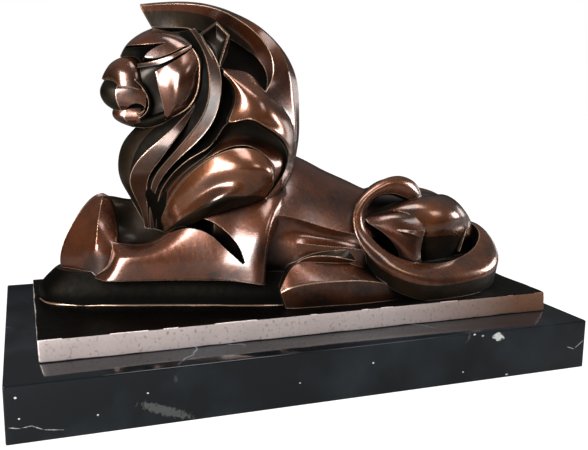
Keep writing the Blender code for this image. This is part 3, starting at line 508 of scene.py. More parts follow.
@dataclass(frozen=True)
class Tail:
    """The tail, which leaves the rump, lies round the near haunch and ends over the back."""

    crest: Rail = ((160, -2, 46), (175, -10, 42), (180, -28, 32), (176, -44, 22), (160, -58, 17),
                   (132, -70, 16), (105, -77, 16), (84, -79, 20), (63, -76, 28), (49, -69, 40), (42, -62, 58),
                   (46, -56, 72), (57, -50, 82), (71, -45, 89), (85, -41, 91.5), (98, -37, 88),
                   (107, -34, 81), (110, -33, 74))
    face: Rail = ((158, -2, 47), (171, -11, 46), (175, -27, 37), (169, -42, 29), (154, -54, 23.5),
                  (128, -65, 22), (103, -72, 22), (80, -74, 27), (62, -72, 37), (51, -66, 48), (47, -61, 61),
                  (51, -57, 72), (60, -53, 80), (71, -50, 85), (83, -47, 86.5), (95, -43, 83), (104, -39, 77),
                  (108, -37, 73))
    inner: Rail = ((155, -2, 46), (166, -12, 46), (167, -26, 41), (159, -38, 34), (146, -48, 29),
                   (124, -58, 25), (100, -64, 26), (78, -66, 32), (60, -64, 44), (52, -60, 55), (51, -57, 64),
                   (55, -54, 71), (62, -51, 76), (71, -48, 78.5), (81, -45, 78), (91, -42, 75),
                   (99, -40, 71.5), (105, -37, 70))
    under: Rail = ((156, 2, 34), (164, -8, 32), (164, -22, 27), (156, -34, 20), (143, -44, 14),
                   (122, -52, 10), (100, -57, 10), (80, -58, 18), (66, -55, 32), (60, -50, 46), (58, -46, 60),
                   (61, -42, 68), (67, -38, 73), (74, -34, 76), (83, -31, 76), (92, -29, 73), (100, -29, 70),
                   (105, -30, 69))
    keel: Rail = ((160, 4, 30), (174, -6, 28), (178, -26, 16), (172, -46, 6), (158, -59, 1), (132, -71, -1),
                  (106, -76, -1), (82, -75, 4), (62, -68, 16), (51, -58, 34), (48, -50, 54), (51, -42, 69),
                  (60, -35, 79), (72, -31, 86), (86, -28, 88), (98, -27, 84), (106, -28, 77), (109, -30, 72))

    def forms(self) -> list[Form]:
        """The one curled tail."""
        wall = between(self.keel, self.crest, 0.72, (0, -0.8, 0))
        rails = (self.crest, self.face, self.inner, self.under, self.keel, wall)
        # The strip from the keel to the wall is olive: painted shade under the ring's outer side, with thick
        # patina.
        return [Form("tail", rails, (2, 4), Side.NEAR, step=2.0, sunk=(4,), patina=Patina.RUBBED, deep=(4,))]


@dataclass(frozen=True)
class Forequarters:
    """The forelegs with the hooked slot in each, the tall paws and the scooped web between them."""

    hem: Rail = ((-145, -29, 20.5), (-140.6, -36.4, 20.3), (-135.5, -40.6, 20.2), (-109, -46.5, 20.6),
                 (-82, -51.5, 20.6), (-64, -56.5, 20.6), (-50, -63, 20.8), (-32, -72.5, 19.5),
                 (-27, -68.5, 18), (-25, -54, 16))
    low: Rail = ((-136.3, -32, 28.3), (-133.6, -38, 29.2), (-129, -41.6, 29.8), (-108, -46.5, 31.2),
                 (-82, -51.5, 34), (-64, -56.5, 36), (-50, -62, 37), (-30, -70.5, 38), (-25, -66, 38),
                 (-22, -51, 38))
    high: Rail = ((-132.5, -30, 37.5), (-130.3, -36.2, 38), (-126.5, -39.8, 38.4), (-107.5, -44.8, 39.5),
                  (-80, -49.5, 47), (-60, -53.5, 55), (-44, -57.5, 57), (-26, -65, 58), (-19, -60, 59),
                  (-10, -50, 60))
    brim: Rail = ((-131, -26, 46), (-107, -31, 44.5), (-88, -39, 56), (-66, -45, 72), (-44, -44, 84),
                  (-28, -46.5, 84), (-14, -47, 82), (-4, -42, 84), (6, -34, 86))
    inside: Rail = ((-132, -8, 42), (-105, -4, 42), (-84, 3, 50), (-58, 3, 60), (-24, 3, 60), (-4, 3, 60))
    floor: Rail = ((-132, -8, 16), (-105, -4, 16), (-84, 3, 16), (-58, 3, 16), (-26, 3, 16), (-14, 3, 16))
    slot_upper: Rail = ((-92, -50, 84), (-78, -54, 76), (-70, -56, 66), (-62, -60, 62.5), (-50, -64, 53),
                        (-44, -68, 44), (-41.5, -72, 35))
    slot_lower: Rail = ((-100, -50, 49), (-84, -52, 56.5), (-76, -54, 57.5), (-65, -58, 54), (-57, -62, 47),
                        (-51, -66, 41), (-43, -72, 33.5))
    slot_depth: float = 34.0
    paw_front: Rail = ((-165, -2, 17), (-169, -2, 24), (-168.5, -2, 36), (-163, -2, 50), (-156, -3, 62),
                       (-149, -4, 71), (-142, -6, 76.6), (-136.5, -7, 78))
    paw_edge: Rail = ((-167, -3.5, 20.5), (-162.9, -7.6, 22.4), (-155.3, -15.2, 27.9), (-147.5, -23.3, 33.5),
                      (-143.8, -26.6, 42), (-141.5, -22, 58), (-139, -16.5, 70), (-137.3, -11, 76.3),
                      (-136.3, -8, 78))
    paw_side: Rail = ((-163, -6, 14), (-155, -14.5, 14.5), (-147, -22, 15.5), (-140.5, -27, 18.5),
                      (-135.5, -28.5, 26), (-132, -28.5, 36), (-131, -25.5, 46), (-131, -18, 56),
                      (-131, -12, 67), (-133, -9, 75), (-135.8, -7.5, 77.8))
    paw_rear: Rail = ((-128, -8, 17), (-126, -8, 33), (-126, -7, 44), (-126, -6, 56), (-127, -5, 67),
                      (-131, -6, 75), (-135.6, -7, 77.8))
    paw_inner: Rail = ((-150, 1, 17), (-152, 1, 24), (-152, 1, 36), (-150, 1, 50), (-146, 1, 62),
                       (-142, 0, 70), (-138, -5, 76), (-136.2, -6.6, 77.8))
    web: tuple[Rail, ...] = (
        ((-138, 0, 76.5), (-130, 0, 76.5), (-118, 0, 74), (-104, 0, 73), (-90, 0, 66)),
        ((-137, -4, 76), (-130, -4, 74), (-118, -2, 72), (-104, -3, 70), (-90, -4, 62)),
        ((-135, -9, 60), (-126, -7, 56), (-116, -6, 54), (-104, -8, 54), (-90, -10, 52)),
        ((-133, -18, 46), (-124, -16, 43), (-114, -16, 42), (-102, -18, 44), (-88, -22, 46)),
        ((-132, -27, 41), (-122, -29, 39), (-112, -31, 40), (-100, -34, 42), (-86, -38, 44)),
        ((-132, -26, 16), (-122, -27, 16), (-112, -28, 16), (-100, -30, 16), (-86, -34, 16)),
        ((-138, 0, 12), (-124, 0, 12), (-114, 0, 12), (-102, 0, 12), (-86, 0, 12)))

    def forms(self) -> list[Form]:
        """The forelegs, paws and web."""
        # The slot's inside takes the near-black ground finish: painted shade in the slot.
        slot = Form("slot", (*backed(self.slot_upper, self.slot_lower, (0, -12, 0)),
                             *backed(self.slot_lower, self.slot_upper, (0, self.slot_depth, 0))),
                    (0, 1, 2, 3), sunk=(0, 1, 2, 3), patina=Patina.GROUND)
        leg = (self.hem, self.low, self.high, self.brim, self.inside, self.floor)
        paw = (self.paw_front, self.paw_edge, self.paw_side, self.paw_rear, self.paw_inner)
        return [Form("foreleg", leg, (0, 3, 4, 5), sunk=(4, 5), cuts=(slot,)),
                Form("paw", paw, (0, 1, 3, 4), sunk=(1, 3, 4)),
                # The web between paw and foreleg is olive: painted shade in its hollow, with thick patina.
                Form("web", self.web, (4, 5, 6), Side.MIDDLE, sunk=(4, 5, 6), patina=Patina.OLIVE)]


@dataclass(frozen=True)
class Mane:
    """The neck, the tall crest, the long locks and the volute over the shoulder."""

    neck: tuple[Rail, ...] = (
        ((-107, 0, 42), (-113, 0, 68), (-122, 0, 86), (-124.5, 0, 100), (-120, 0, 117), (-108, 0, 131),
         (-98, 0, 148), (-92, 0, 170), (-86, 0, 198)),
        ((-104, -4, 42), (-109, -9, 68), (-116, -13, 86), (-116, -15, 100), (-109, -18, 117), (-96, -21, 131),
         (-80, -22, 148), (-74, -22, 170), (-78, -8, 198)),
        ((-97, -5, 42), (-84, -26, 68), (-76, -32, 86), (-68, -37, 100), (-60, -40, 117), (-54, -41, 131),
         (-48, -38, 148), (-50, -30, 170), (-64, -9, 200)),
        ((-92, -4, 42), (-50, -34, 66), (-26, -38, 84), (-14, -36, 100), (-6, -32, 117), (-6, -26, 131),
         (-10, -20, 148), (-22, -14, 168), (-46, -8, 194)),
        ((-90, 0, 42), (-40, 0, 64), (-4, 0, 84), (8, 0, 100), (12, 0, 117), (12, 0, 131), (9, 0, 148),
         (-4, 0, 170), (-36, 0, 194)))
    chest: tuple[Rail, ...] = (
        ((-62, 0, 92), (-60, 0, 108), (-58, 0, 118), (-52, 0, 128), (-44, 0, 138)),
        ((-58, -37, 92), (-56, -40, 108), (-52, -41, 118), (-46, -40, 128), (-40, -35, 138)),
        ((-34, -41, 92), (-34, -42, 108), (-32, -41, 118), (-30, -41, 128), (-28, -38, 138)),
        ((-12, -38, 92), (-9, -37, 108), (-8, -36.5, 118), (-9, -36, 128), (-14, -34, 138)),
        ((4, 0, 92), (4, 0, 108), (4, 0, 118), (4, 0, 128), (0, 0, 138)))
    crest_top: Rail = ((-105, 0, 217.5), (-83, 0, 220), (-61, 0, 220), (-42, 0, 216), (-23, 0, 208.5),
                       (-11, 0, 201), (-1, 0, 192), (7, 0, 182), (13, 0, 170), (16, 0, 157), (17, 0, 140),
                       (17, 0, 120), (14, 0, 100))
    crest_shoulder: Rail = ((-105, -1, 217), (-83, -3, 219), (-61, -5, 219), (-42, -7, 215), (-23, -9, 206),
                            (-12, -10, 198), (-3, -10, 189), (3, -10, 178), (7, -10, 165), (9, -10, 150),
                            (11, -10, 137), (12, -10, 120), (10, -12, 100))
    crest_edge: Rail = ((-105, -1.5, 216), (-83, -5, 218), (-62, -7, 217.5), (-47, -10, 214),
                        (-36, -11.8, 208.8), (-25.4, -12.5, 202), (-16.9, -12, 194.6), (-11.2, -12.5, 187),
                        (-8.1, -13, 178.9), (-7.6, -14, 169.9), (-10.9, -16.5, 160.6), (-16.4, -22, 151.6),
                        (-14, -26, 136), (-4, -26, 116), (0, -26, 100))
    crest_lip: Rail = ((-103, -2, 212), (-82, -6, 213), (-62, -8, 211), (-50, -7, 207), (-38, -6, 200),
                       (-28, -4.5, 193), (-21, -3.6, 186), (-17, -3.6, 178), (-17, -4, 168), (-20, -6, 158),
                       (-22, -10, 146), (-18, -12, 125), (-12, -14, 100))
    crest_web: Rail = ((-97, -2, 201.4), (-91, -4, 201), (-83, -7, 201), (-76, -9, 201), (-69, -10, 199.5),
                       (-62, -10, 191), (-57, -9, 181), (-54, -7, 170), (-53, -7, 158), (-52, -7, 148),
                       (-50, -8, 136), (-46, -10, 118), (-42, -12, 100))
    crest_heart: Rail = ((-92, 0, 196), (-84, 0, 194), (-74, 0, 192), (-66, 0, 184), (-60, 0, 176),
                         (-55, 0, 171), (-52, 0, 166), (-50, 0, 160), (-50, 0, 152), (-50, 0, 144),
                         (-48, 0, 134), (-42, 0, 116), (-40, 0, 100))
    cheek_lock: tuple[Rail, Rail] = (
        ((-71, -32, 145), (-84, -35, 132), (-96, -33, 121), (-107, -28, 111), (-115, -23, 100),
         (-117.5, -18, 90), (-115, -14, 80), (-108, -10, 62), (-106, -5, 38)),
        ((-70.5, -31, 144), (-79, -37, 130), (-88, -37, 118), (-96, -32, 106), (-103, -26, 95),
         (-105, -20, 85), (-105, -16, 75), (-104, -12, 62), (-103, -5, 37)))
    brow_lock: tuple[Rail, Rail] = (
        ((-70, -9.5, 200), (-66, -20, 191), (-62.5, -28, 181), (-61, -34, 170), (-61, -38, 159),
         (-65, -41, 142), (-76, -40, 125), (-89, -35, 109), (-99, -27, 95), (-103, -18, 78), (-102, -5, 36)),
        ((-67, -9, 201), (-61, -22, 191), (-56, -31, 181), (-53, -38, 170), (-53, -43, 158), (-58, -47, 138),
         (-70, -46, 121), (-85, -39, 106), (-96, -28, 90), (-100, -18, 74), (-99, -5, 35)))
    lock_depth: float = 16.0
    swirl_outer: Rail = ((-52, -38, 171.5), (-42.5, -35, 170.5), (-34, -33, 169.2), (-26, -31, 164.5),
                         (-19, -30, 156.5), (-11, -30, 150.5), (-4, -31, 143.5), (2, -32, 131),
                         (4.5, -32, 117.5), (3, -36, 103), (-4, -44, 91), (-12, -50, 83), (-21, -50, 76))
    swirl_swell: Rail = ((-51, -41, 170), (-38, -49.5, 156), (-28, -54.5, 147), (-19, -54, 138),
                         (-11, -49, 130), (-6, -46, 121), (-2, -45, 112), (-4, -46, 101), (-9, -49, 92),
                         (-14, -52, 85), (-22, -51, 77))
    swirl_inner: Rail = ((-51, -41, 167), (-45, -42.5, 160), (-44, -46, 147), (-49, -51, 134),
                         (-38, -57, 136), (-24, -56, 131), (-12, -53, 123), (-5, -50, 112), (-8, -50, 98),
                         (-16, -53, 87), (-23, -51, 78))
    hollow_ridge: Rail = ((-10, -42, 88), (-3, -42, 99), (-2, -44, 112), (-9, -46, 126), (-22, -49, 135),
                          (-37, -51, 140), (-48, -51, 135.5), (-55, -51.5, 128), (-63, -50, 117),
                          (-75, -45, 109), (-87, -38, 98), (-95, -27, 84), (-98, -18, 69), (-98, -5, 34))
    hollow_valley: Rail = ((-14, -50, 88), (-10, -48.5, 97), (-9, -47, 107), (-17, -44, 116), (-30, -44, 121),
                           (-42, -45, 123), (-54, -45, 119), (-64, -44, 110), (-74, -40, 102), (-84, -33, 92),
                           (-92, -24, 80), (-95, -16, 67), (-96, -4, 34))
    hollow_rim: Rail = ((-18, -51, 86), (-16, -53, 96), (-20, -55, 106), (-28, -57, 113), (-38, -58, 117.5),
                        (-50, -57, 116.5), (-60, -55, 112), (-69, -51, 106), (-77, -45, 98), (-85, -37, 87),
                        (-90, -27, 76), (-93, -18, 65), (-94, -5, 34))
    knob: tuple[Rail, ...] = (
        ((-17, -53, 88), (-17, -55, 99), (-26, -58, 111), (-42, -59, 116), (-60, -56, 111), (-76, -45.5, 98),
         (-88, -32, 80), (-95, -16, 60)),
        ((-19, -55, 86), (-21, -62, 96), (-32, -67.5, 101), (-46, -66, 101.5), (-62, -58, 96.5),
         (-76, -47.5, 86), (-87, -34, 72), (-94, -17, 56)),
        ((-22, -56, 83), (-25, -61, 89.5), (-37, -65, 92.5), (-50, -62.5, 91.5), (-63, -55.5, 86.5),
         (-75, -47, 77), (-86, -34, 66), (-93, -17, 53)),
        ((-24, -55, 80), (-31, -60, 82), (-42, -64.2, 82.5), (-54, -64.8, 82.5), (-66, -59.5, 78),
         (-76, -48, 70), (-86, -34, 60), (-93, -17, 50)),
        ((-26, -52, 78), (-34, -54, 75), (-44, -54, 73), (-56, -54, 70), (-66, -50, 66), (-75, -42, 60),
         (-85, -30, 54), (-92, -15, 47)))
    knob_depth: float = 24.0

    def forms(self) -> list[Form]:
        """Every lock of the mane and what it is carved from."""
        crest = (self.crest_top, self.crest_shoulder, self.crest_edge, self.crest_lip, self.crest_web,
                 self.crest_heart)
        swirl = (self.swirl_outer, self.swirl_swell, self.swirl_inner, moved(self.swirl_inner, (0, 14, -2)),
                 moved(self.swirl_outer, (0, 18, -3)))
        hollow = (self.hollow_ridge, self.hollow_valley, self.hollow_rim,
                  moved(self.hollow_rim, (0, 14, -6)), moved(self.hollow_ridge, (0, 16, -4)))
        knob = (*self.knob, moved(self.knob[-1], (0, self.knob_depth, 2)),
                moved(self.knob[0], (0, self.knob_depth, -2)))
        # The neck takes the near-black ground finish and its front the olive one: painted shade between the
        # locks, with dark patina.
        made = [Form("neck", self.neck, (), Side.MIDDLE, step=2.4, patina=Patina.GROUND, deep=(0,)),
                Form("chest", self.chest, (), Side.MIDDLE, step=4.0),
                # The crest's web is olive: painted shade in its recess, with thick patina.
                Form("crest", crest, (0, 1, 2, 4, 5), Side.MIDDLE, ease=0.6, sunk=(0, 1, 5), deep=(3, 4)),
                Form("swirl", swirl, (0, 2, 3, 4), ease=0.8, sunk=(3, 4), patina=Patina.RUBBED),
                # The hollow lock's valley is olive: painted shade in the scoop, with thick patina.
                Form("hollow_lock", hollow, (0, 2, 3, 4), ease=0.6, sunk=(3, 4), deep=(0,)),
                # The knob's lower strips are olive: painted shade under it, with thick patina.
                Form("shoulder_knob", knob, (0, 4, 5, 6), sunk=(4, 5, 6), patina=Patina.RUBBED,
                     deep=(3, 4))]
        for name, (lower, upper) in (("cheek_lock", self.cheek_lock), ("brow_lock", self.brow_lock)):
            floor = between(lower, upper, 0.25, (0, self.lock_depth, 0))
            roof = between(lower, upper, 0.75, (0, self.lock_depth, 0))
            made.append(Form(name, (lower, upper, roof, floor), (0, 1, 2, 3), step=1.4, sunk=(2, 3),
                             ease=0.6, patina=Patina.LOCK))
        return made


@dataclass(frozen=True)
class Head:
    """The face: skull, brow with its slanting sockets, cheeks, snout, muzzle and jaw, and the ears."""

    fine: float = 1.1  # how far apart the points of its forms lie
    # The near ear's corners, then rings from its rim inwards: their size and how deep they lie.
    ear_corners: Rail = ((-65, -21, 196), (-52, -19, 205.5), (-43.5, -25, 196), (-54, -37, 170))
    ear_rings: tuple[Span, ...] = ((1.0, 16), (1.0, 0.5), (0.98, 0), (0.86, 0), (0.82, 0.5), (0.74, 4),
                                   (0.55, 6), (0.3, 7))
    ear_detail: int = 10
    cheek_rear: Rail = ((-71, -28, 185), (-67, -29.5, 177), (-66.5, -30, 168), (-67.5, -31, 159),
                        (-70, -31, 151), (-75, -30, 143.5), (-83, -27.5, 138), (-91, -24.5, 134.5))
    cheek_swell: Rail = ((-84, -31.5, 176.5), (-82, -36.5, 167), (-83, -37, 157), (-84, -35, 148.5),
                         (-87, -30, 140.5), (-91, -25, 134.8))
    cheek_plane: Rail = ((-91, -30.6, 172.5), (-89.5, -33, 162), (-88.6, -32.9, 153), (-88.6, -31.2, 145.5),
                         (-91.2, -25, 134.9))
    cheek_front: Rail = ((-98, -29, 168.5), (-96, -29.3, 157), (-94, -28.5, 149), (-92, -27, 141),
                         (-91.5, -25, 135))
    cheek_inner: Rail = ((-92, -10, 166), (-92, -10, 156), (-91, -10, 148), (-90, -8, 141), (-90, -8, 136))
    cheek_deep: Rail = ((-64, -10, 182), (-56, -10, 174), (-54, -10, 166), (-56, -10, 154), (-62, -10, 146),
                        (-76, -8, 140), (-88, -8, 136))
    bone_high: Rail = ((-72, -28, 187.5), (-83, -30.5, 182), (-94, -27.5, 177.5), (-103, -22.5, 175),
                       (-109, -17, 174))
    bone_low: Rail = ((-72, -29, 185.5), (-82, -31.5, 180), (-92, -28.5, 175), (-101, -23, 172.5),
                      (-109, -17.5, 171.5))
    skull: tuple[Rail, ...] = (
        ((-112, 0, 176), (-104, 0, 182), (-92, 0, 188), (-80, 0, 192), (-68, 0, 190)),
        ((-112, -10, 170), (-104, -15, 174), (-92, -20, 180), (-80, -21, 186), (-68, -18, 184)),
        ((-112, -13, 154), (-104, -15.5, 154), (-92, -18, 154), (-80, -22, 154), (-66, -24, 154)),
        ((-112, -9, 138), (-104, -12, 134), (-92, -17, 136), (-80, -22, 142), (-68, -22, 146)),
        ((-112, 0, 132), (-104, 0, 130), (-92, 0, 130), (-78, 0, 134), (-64, 0, 140)))
    brow_top: Rail = ((-120.5, 0, 180), (-118.5, 0, 184), (-115, 0, 189), (-110, 0, 193.5), (-104, 0, 197.3),
                      (-97, 0, 200.5))
    brow_dome: Rail = ((-120.3, -2, 179.8), (-118, -8, 183.5), (-114, -13, 188.5), (-107, -15, 193),
                       (-98, -15, 197), (-88, -14, 198))
    brow_side: Rail = ((-120, -4, 179.5), (-117, -12, 182), (-112, -18, 186), (-105, -22, 188.5),
                       (-96, -24, 191.5), (-87, -24, 193.5), (-78, -19.5, 194))
    lid: Rail = ((-119.5, -5, 178.5), (-116, -14, 180), (-112, -20, 181), (-106, -25, 179), (-99, -28, 178),
                 (-91, -30, 180), (-82, -31, 184), (-76, -29, 187), (-71, -26, 187.5))
    brow_inner: Rail = ((-118, -2, 176), (-113, -4, 174), (-108, -6, 172), (-102, -8, 172), (-95, -8, 172),
                        (-88, -8, 174), (-80, -8, 178), (-74, -8, 182), (-69, -8, 184))
    eye_lid: Rail = ((-126, -8, 188), (-111, -21, 187.5), (-102, -27, 188), (-91, -31, 189))
    eye_low: Rail = ((-126, -8, 170), (-117, -14, 170), (-109, -20.5, 173), (-103, -26, 181.5),
                     (-91, -31, 188.4))
    eye_deep_lid: Rail = ((-122, -3, 186), (-109, -7, 186), (-101, -16, 187), (-91, -26, 188.9))
    eye_deep_low: Rail = ((-122, -3, 168), (-112, -7, 168), (-103, -16, 180), (-91, -26, 188.2))
    snout: tuple[Rail, ...] = (
        ((-134.2, 0, 163.5), (-133, 0, 166.6), (-130.6, 0, 170.8), (-127.3, 0, 174.8), (-121, 0, 178.6),
         (-112, 0, 180), (-104, 0, 178.5)),
        ((-133.8, -1.5, 163.6), (-131.5, -5.5, 166.5), (-128.6, -8.5, 170), (-124.6, -10, 173.6),
         (-118.5, -11, 176.3), (-111, -11.5, 177), (-104, -9, 175)),
        ((-133.5, -2.5, 163.6), (-130, -8, 165.4), (-126.2, -12, 167), (-122, -15, 168.5),
         (-116, -16.8, 169.2), (-110, -16.6, 169), (-103, -12, 167)),
        ((-133.4, -3, 163.6), (-130.5, -7, 163.7), (-126.8, -11.6, 163.4), (-124.2, -14.3, 160.4),
         (-121.5, -16.6, 158.3), (-115, -19, 157.6), (-109, -19, 156), (-102, -13, 155.5)),
        ((-131, 0, 160), (-127, 0, 158), (-123, 0, 156), (-119, 0, 155), (-112, 0, 154), (-103, 0, 153)))
    muzzle: tuple[Rail, ...] = (
        ((-126.5, 0, 141), (-131.5, 0, 144.5), (-135, 0, 149.5), (-135.6, 0, 156), (-132, 0, 163)),
        ((-125, -7, 140.8), (-129.5, -9, 145), (-132, -9.5, 151), (-131.8, -9.5, 157), (-128, -7.5, 163)),
        ((-121.5, -11.5, 140.8), (-123.5, -14.2, 144.5), (-125.2, -15, 151), (-124.4, -14.8, 157),
         (-121, -10, 162)),
        ((-115, -14, 140), (-114.5, -17.2, 145), (-114, -18.2, 151), (-114, -18, 157), (-114, -12, 162)),
        ((-109, -16, 136), (-105.5, -19.3, 141), (-104.2, -20, 149), (-106, -19, 156), (-109, -12, 161)),
        ((-100, 0, 136), (-100, 0, 143), (-100, 0, 150), (-100, 0, 156), (-100, 0, 161)))
    smile_front: Rail = ((-112, -19.5, 163), (-107, -20.6, 157.5), (-103.4, -21.4, 150.2),
                         (-102.8, -21, 144.1), (-105, -19.5, 139), (-109.5, -16.5, 135.2))
    smile_rear: Rail = ((-110, -19.5, 163.6), (-105.4, -20.4, 158), (-101.8, -21.2, 150.6),
                        (-101.2, -20.8, 143.8), (-103.4, -19.3, 138), (-108, -16.3, 134))
    jaw_rim: Rail = ((-70.5, -30.5, 145), (-77.2, -29.5, 141.3), (-87.2, -26.5, 135), (-95.2, -22.5, 130.7),
                     (-104, -17.5, 128.2), (-113, -11, 128.6))
    jaw_side: Rail = ((-72, -31, 149), (-79, -30.5, 145.5), (-88.5, -27.5, 139.5), (-96.5, -23.5, 135.5),
                      (-105, -18, 132.6), (-113.5, -11.5, 131.5))
    jaw_deep: Rail = ((-70, -14, 150), (-78, -12, 146), (-88, -10, 141), (-96, -8, 138), (-104, -6, 136),
                      (-112, -4, 134))
    jaw: tuple[Rail, ...] = (
        ((-113, 0, 128), (-121, 0, 131), (-126, 0, 134.5), (-127.5, 0, 138), (-126.5, 0, 142)),
        ((-112, -6, 128.3), (-119, -9, 131.5), (-123.5, -10, 135), (-124.5, -10, 138), (-123.5, -9, 142)),
        ((-110, -9, 128.6), (-116, -12, 131.8), (-119.5, -13, 135), (-119.5, -13, 138.5),
         (-118.5, -12.5, 142)),
        ((-106, -12, 129.5), (-108.5, -15, 132.5), (-108.5, -16.5, 136), (-108, -16.5, 139),
         (-108, -15, 142)),
        ((-98, 0, 129), (-98, 0, 132), (-98, 0, 136), (-98, 0, 139), (-98, 0, 142)))
    mouth_lip: Rail = ((-119, -15, 141), (-113.5, -20, 145.8), (-108, -22, 146), (-105, -22, 143))
    mouth_low: Rail = ((-119, -15, 140.5), (-115, -20, 137.8), (-109.5, -22, 138.2), (-105, -22, 142))

    def forms(self) -> list[Form]:
        """Every form of the face, with the undercuts of eye and mouth."""
        # The socket's inside takes the near-black ground finish: painted shade in the socket.
        eye = Form("eye", (moved(self.eye_lid, (0, -12, 2)), self.eye_lid, self.eye_deep_lid,
                           self.eye_deep_low, self.eye_low, moved(self.eye_low, (0, -12, -2))),
                   (0, 1, 2, 3, 4, 5), step=1.4, sunk=(0, 1, 2, 3, 4, 5), patina=Patina.GROUND)
        # The mouth's inside takes the olive finish: painted shade in the mouth, with thick patina.
        mouth = Form("mouth", (between(self.mouth_lip, self.mouth_low, 0.5, (0, -8, 0)), self.mouth_lip,
                               between(self.mouth_lip, self.mouth_low, 0.5, (0, 9, 0)), self.mouth_low),
                     step=0.9, patina=Patina.OLIVE)
        brow_under = [(x, 0, z - 1) for x, _, z in self.brow_inner]
        brow = (self.brow_top, self.brow_dome, self.brow_side, self.lid, self.brow_inner, brow_under)
        cheek = (self.cheek_rear, self.cheek_swell, self.cheek_plane, self.cheek_front, self.cheek_inner,
                 self.cheek_deep)
        bone = (self.bone_high, self.bone_low, moved(self.bone_low, (0, 12, -1)),
                moved(self.bone_high, (0, 12, 1)))
        smile = (self.smile_front, self.smile_rear, *backed(self.smile_rear, self.smile_front, (0, 8, 0)))
        # A thin strip along the cheek's rear in the pale edge finish: a painted highlight line along the
        # face's rim.
        rim = (moved(self.cheek_rear, (-0.5, -0.9, 0.1)), moved(self.cheek_rear, (0.4, -0.8, -0.1)),
               moved(self.cheek_rear, (0.4, 8, -0.1)), moved(self.cheek_rear, (-0.5, 8, 0.1)))
        jawline = (self.jaw_rim, self.jaw_side, self.jaw_deep, moved(self.jaw_rim, (0, 12, 3)))
        # The skull, seen in the recesses of the face, is olive: painted shade in the recesses, with thick
        # patina.
        return [Form("skull", self.skull, (), Side.MIDDLE, step=2.4, patina=Patina.OLIVE),
                Form("cheek", cheek, (0, 3, 4, 5), step=self.fine, sunk=(4, 5)),
                Form("cheek_rim", rim, (0, 1, 2, 3), step=self.fine, sunk=(0, 1, 2, 3), patina=Patina.EDGE),
                Form("cheekbone", bone, (0, 1, 2, 3), step=self.fine, ease=0.3, sunk=(1, 2, 3)),
                Form("brow", brow, (3, 4, 5), Side.MIDDLE, step=self.fine, sunk=(4, 5), cuts=(eye,)),
                Form("snout", self.snout, (3, 4), Side.MIDDLE, step=self.fine, ease=0.35, sunk=(4,),
                     patina=Patina.RUBBED),
                # The muzzle's front strips are olive: painted shade on the nose's front, with thick patina.
                Form("muzzle", self.muzzle, (2, 4, 5), Side.MIDDLE, step=self.fine, ease=0.3, sunk=(4, 5),
                     cuts=(mouth,), deep=(0, 1)),
                # The smile takes the near-black ground finish: a painted dark line of shade in the crease.
                Form("smile", smile, (0, 1, 2, 3), step=self.fine, ease=0.18, sunk=(1, 2, 3),
                     patina=Patina.GROUND),
                # The jawline takes the near-black ground finish and the jaw's inner strip the olive one:
                # painted shade under the jaw.
                Form("jawline", jawline, (0, 2, 3), step=self.fine, ease=0.3, sunk=(2, 3),
                     patina=Patina.GROUND),
                Form("jaw", self.jaw, (2, 3, 4), Side.MIDDLE, step=self.fine, ease=0.3, sunk=(3, 4),
                     deep=(3,))]

    def ears(self) -> list[bpy.types.Object]:
        """The kite-shaped ears, each with a broad rim round its hollow face."""
        corners = np.array(self.ear_corners, float)
        outline = np.concatenate([np.linspace(a, b, self.ear_detail, endpoint=False)
                                  for a, b in zip(corners, np.roll(corners, -1, axis=0))])
        centre = corners.mean(axis=0)
        facing = np.cross(corners[2] - corners[0], corners[1] - corners[3])
        facing /= np.linalg.norm(facing)
        loops = np.stack([centre + (outline - centre) * share - facing * sink
                          for share, sink in self.ear_rings], axis=1)
        # A pale ring along the rim is a painted highlight line with rubbed metal; the bowl is olive, painted
        # shade with thick patina.
        wear_and_light = np.tile([WearAndLight.PLAIN, WearAndLight.EDGE] + [WearAndLight.DEEP] * (len(self.ear_rings) - 3), (len(outline), 1))
        return [closed("ear", loops, wear_and_light), closed("ear_far", loops * (1, -1, 1), wear_and_light)]


def fitted(tree: bpy.types.NodeTree, node: bpy.types.Node, settings: dict[Any, Any],
           links: dict[Any, Any]) -> bpy.types.Node:
    """Gives a node its settings and links.

    Args:
        tree: The node tree.
        node: The node.
        settings: Values by the name of a property, or by the name or number of an input.
        links: What feeds an input, by its name or number: an output socket, or a node for its first output.

    Returns:
        The node.
    """
    for name, value in settings.items():
        if isinstance(name, str) and hasattr(node, name):
            setattr(node, name, value)
        else:
            node.inputs[name].default_value = value
    for name, source in links.items():
        socket = source.outputs[0] if isinstance(source, bpy.types.Node) else source
        tree.links.new(node.inputs[name], socket)
    return node


def add(tree: bpy.types.NodeTree, kind: str, settings: Optional[dict[Any, Any]] = None,
        links: Optional[dict[Any, Any]] = None) -> bpy.types.Node:
    """Adds a node with its settings and links.

    Args:
        tree: The node tree.
        kind: The node's type, without the ShaderNode that each starts with.
        settings: What fitted() sets.
        links: What fitted() links.

    Returns:
        The node.
    """
    return fitted(tree, tree.nodes.new("ShaderNode" + kind), settings or {}, links or {})


def span(ends: Span, top: float = 1.0) -> dict[str, float]:
    """The settings that turn one value into zero and another into the top."""
    return {"From Min": ends[0], "From Max": ends[1], "To Max": top}


def started(name: str) -> tuple[bpy.types.Material, bpy.types.Node, bpy.types.Node]:
    """Starts a material.

    Args:
        name: The material's name.

    Returns:
        The material, its shader, and the node that tells a point's place in millimetres.
    """
    made = bpy.data.materials.new(name)
    made.use_nodes = True
    place = add(made.node_tree, "TexCoord")
    mm = add(made.node_tree, "VectorMath", {"operation": "SCALE", "Scale": 1 / MM},
             {0: place.outputs["Object"]})
    return made, made.node_tree.nodes["Principled BSDF"], mm


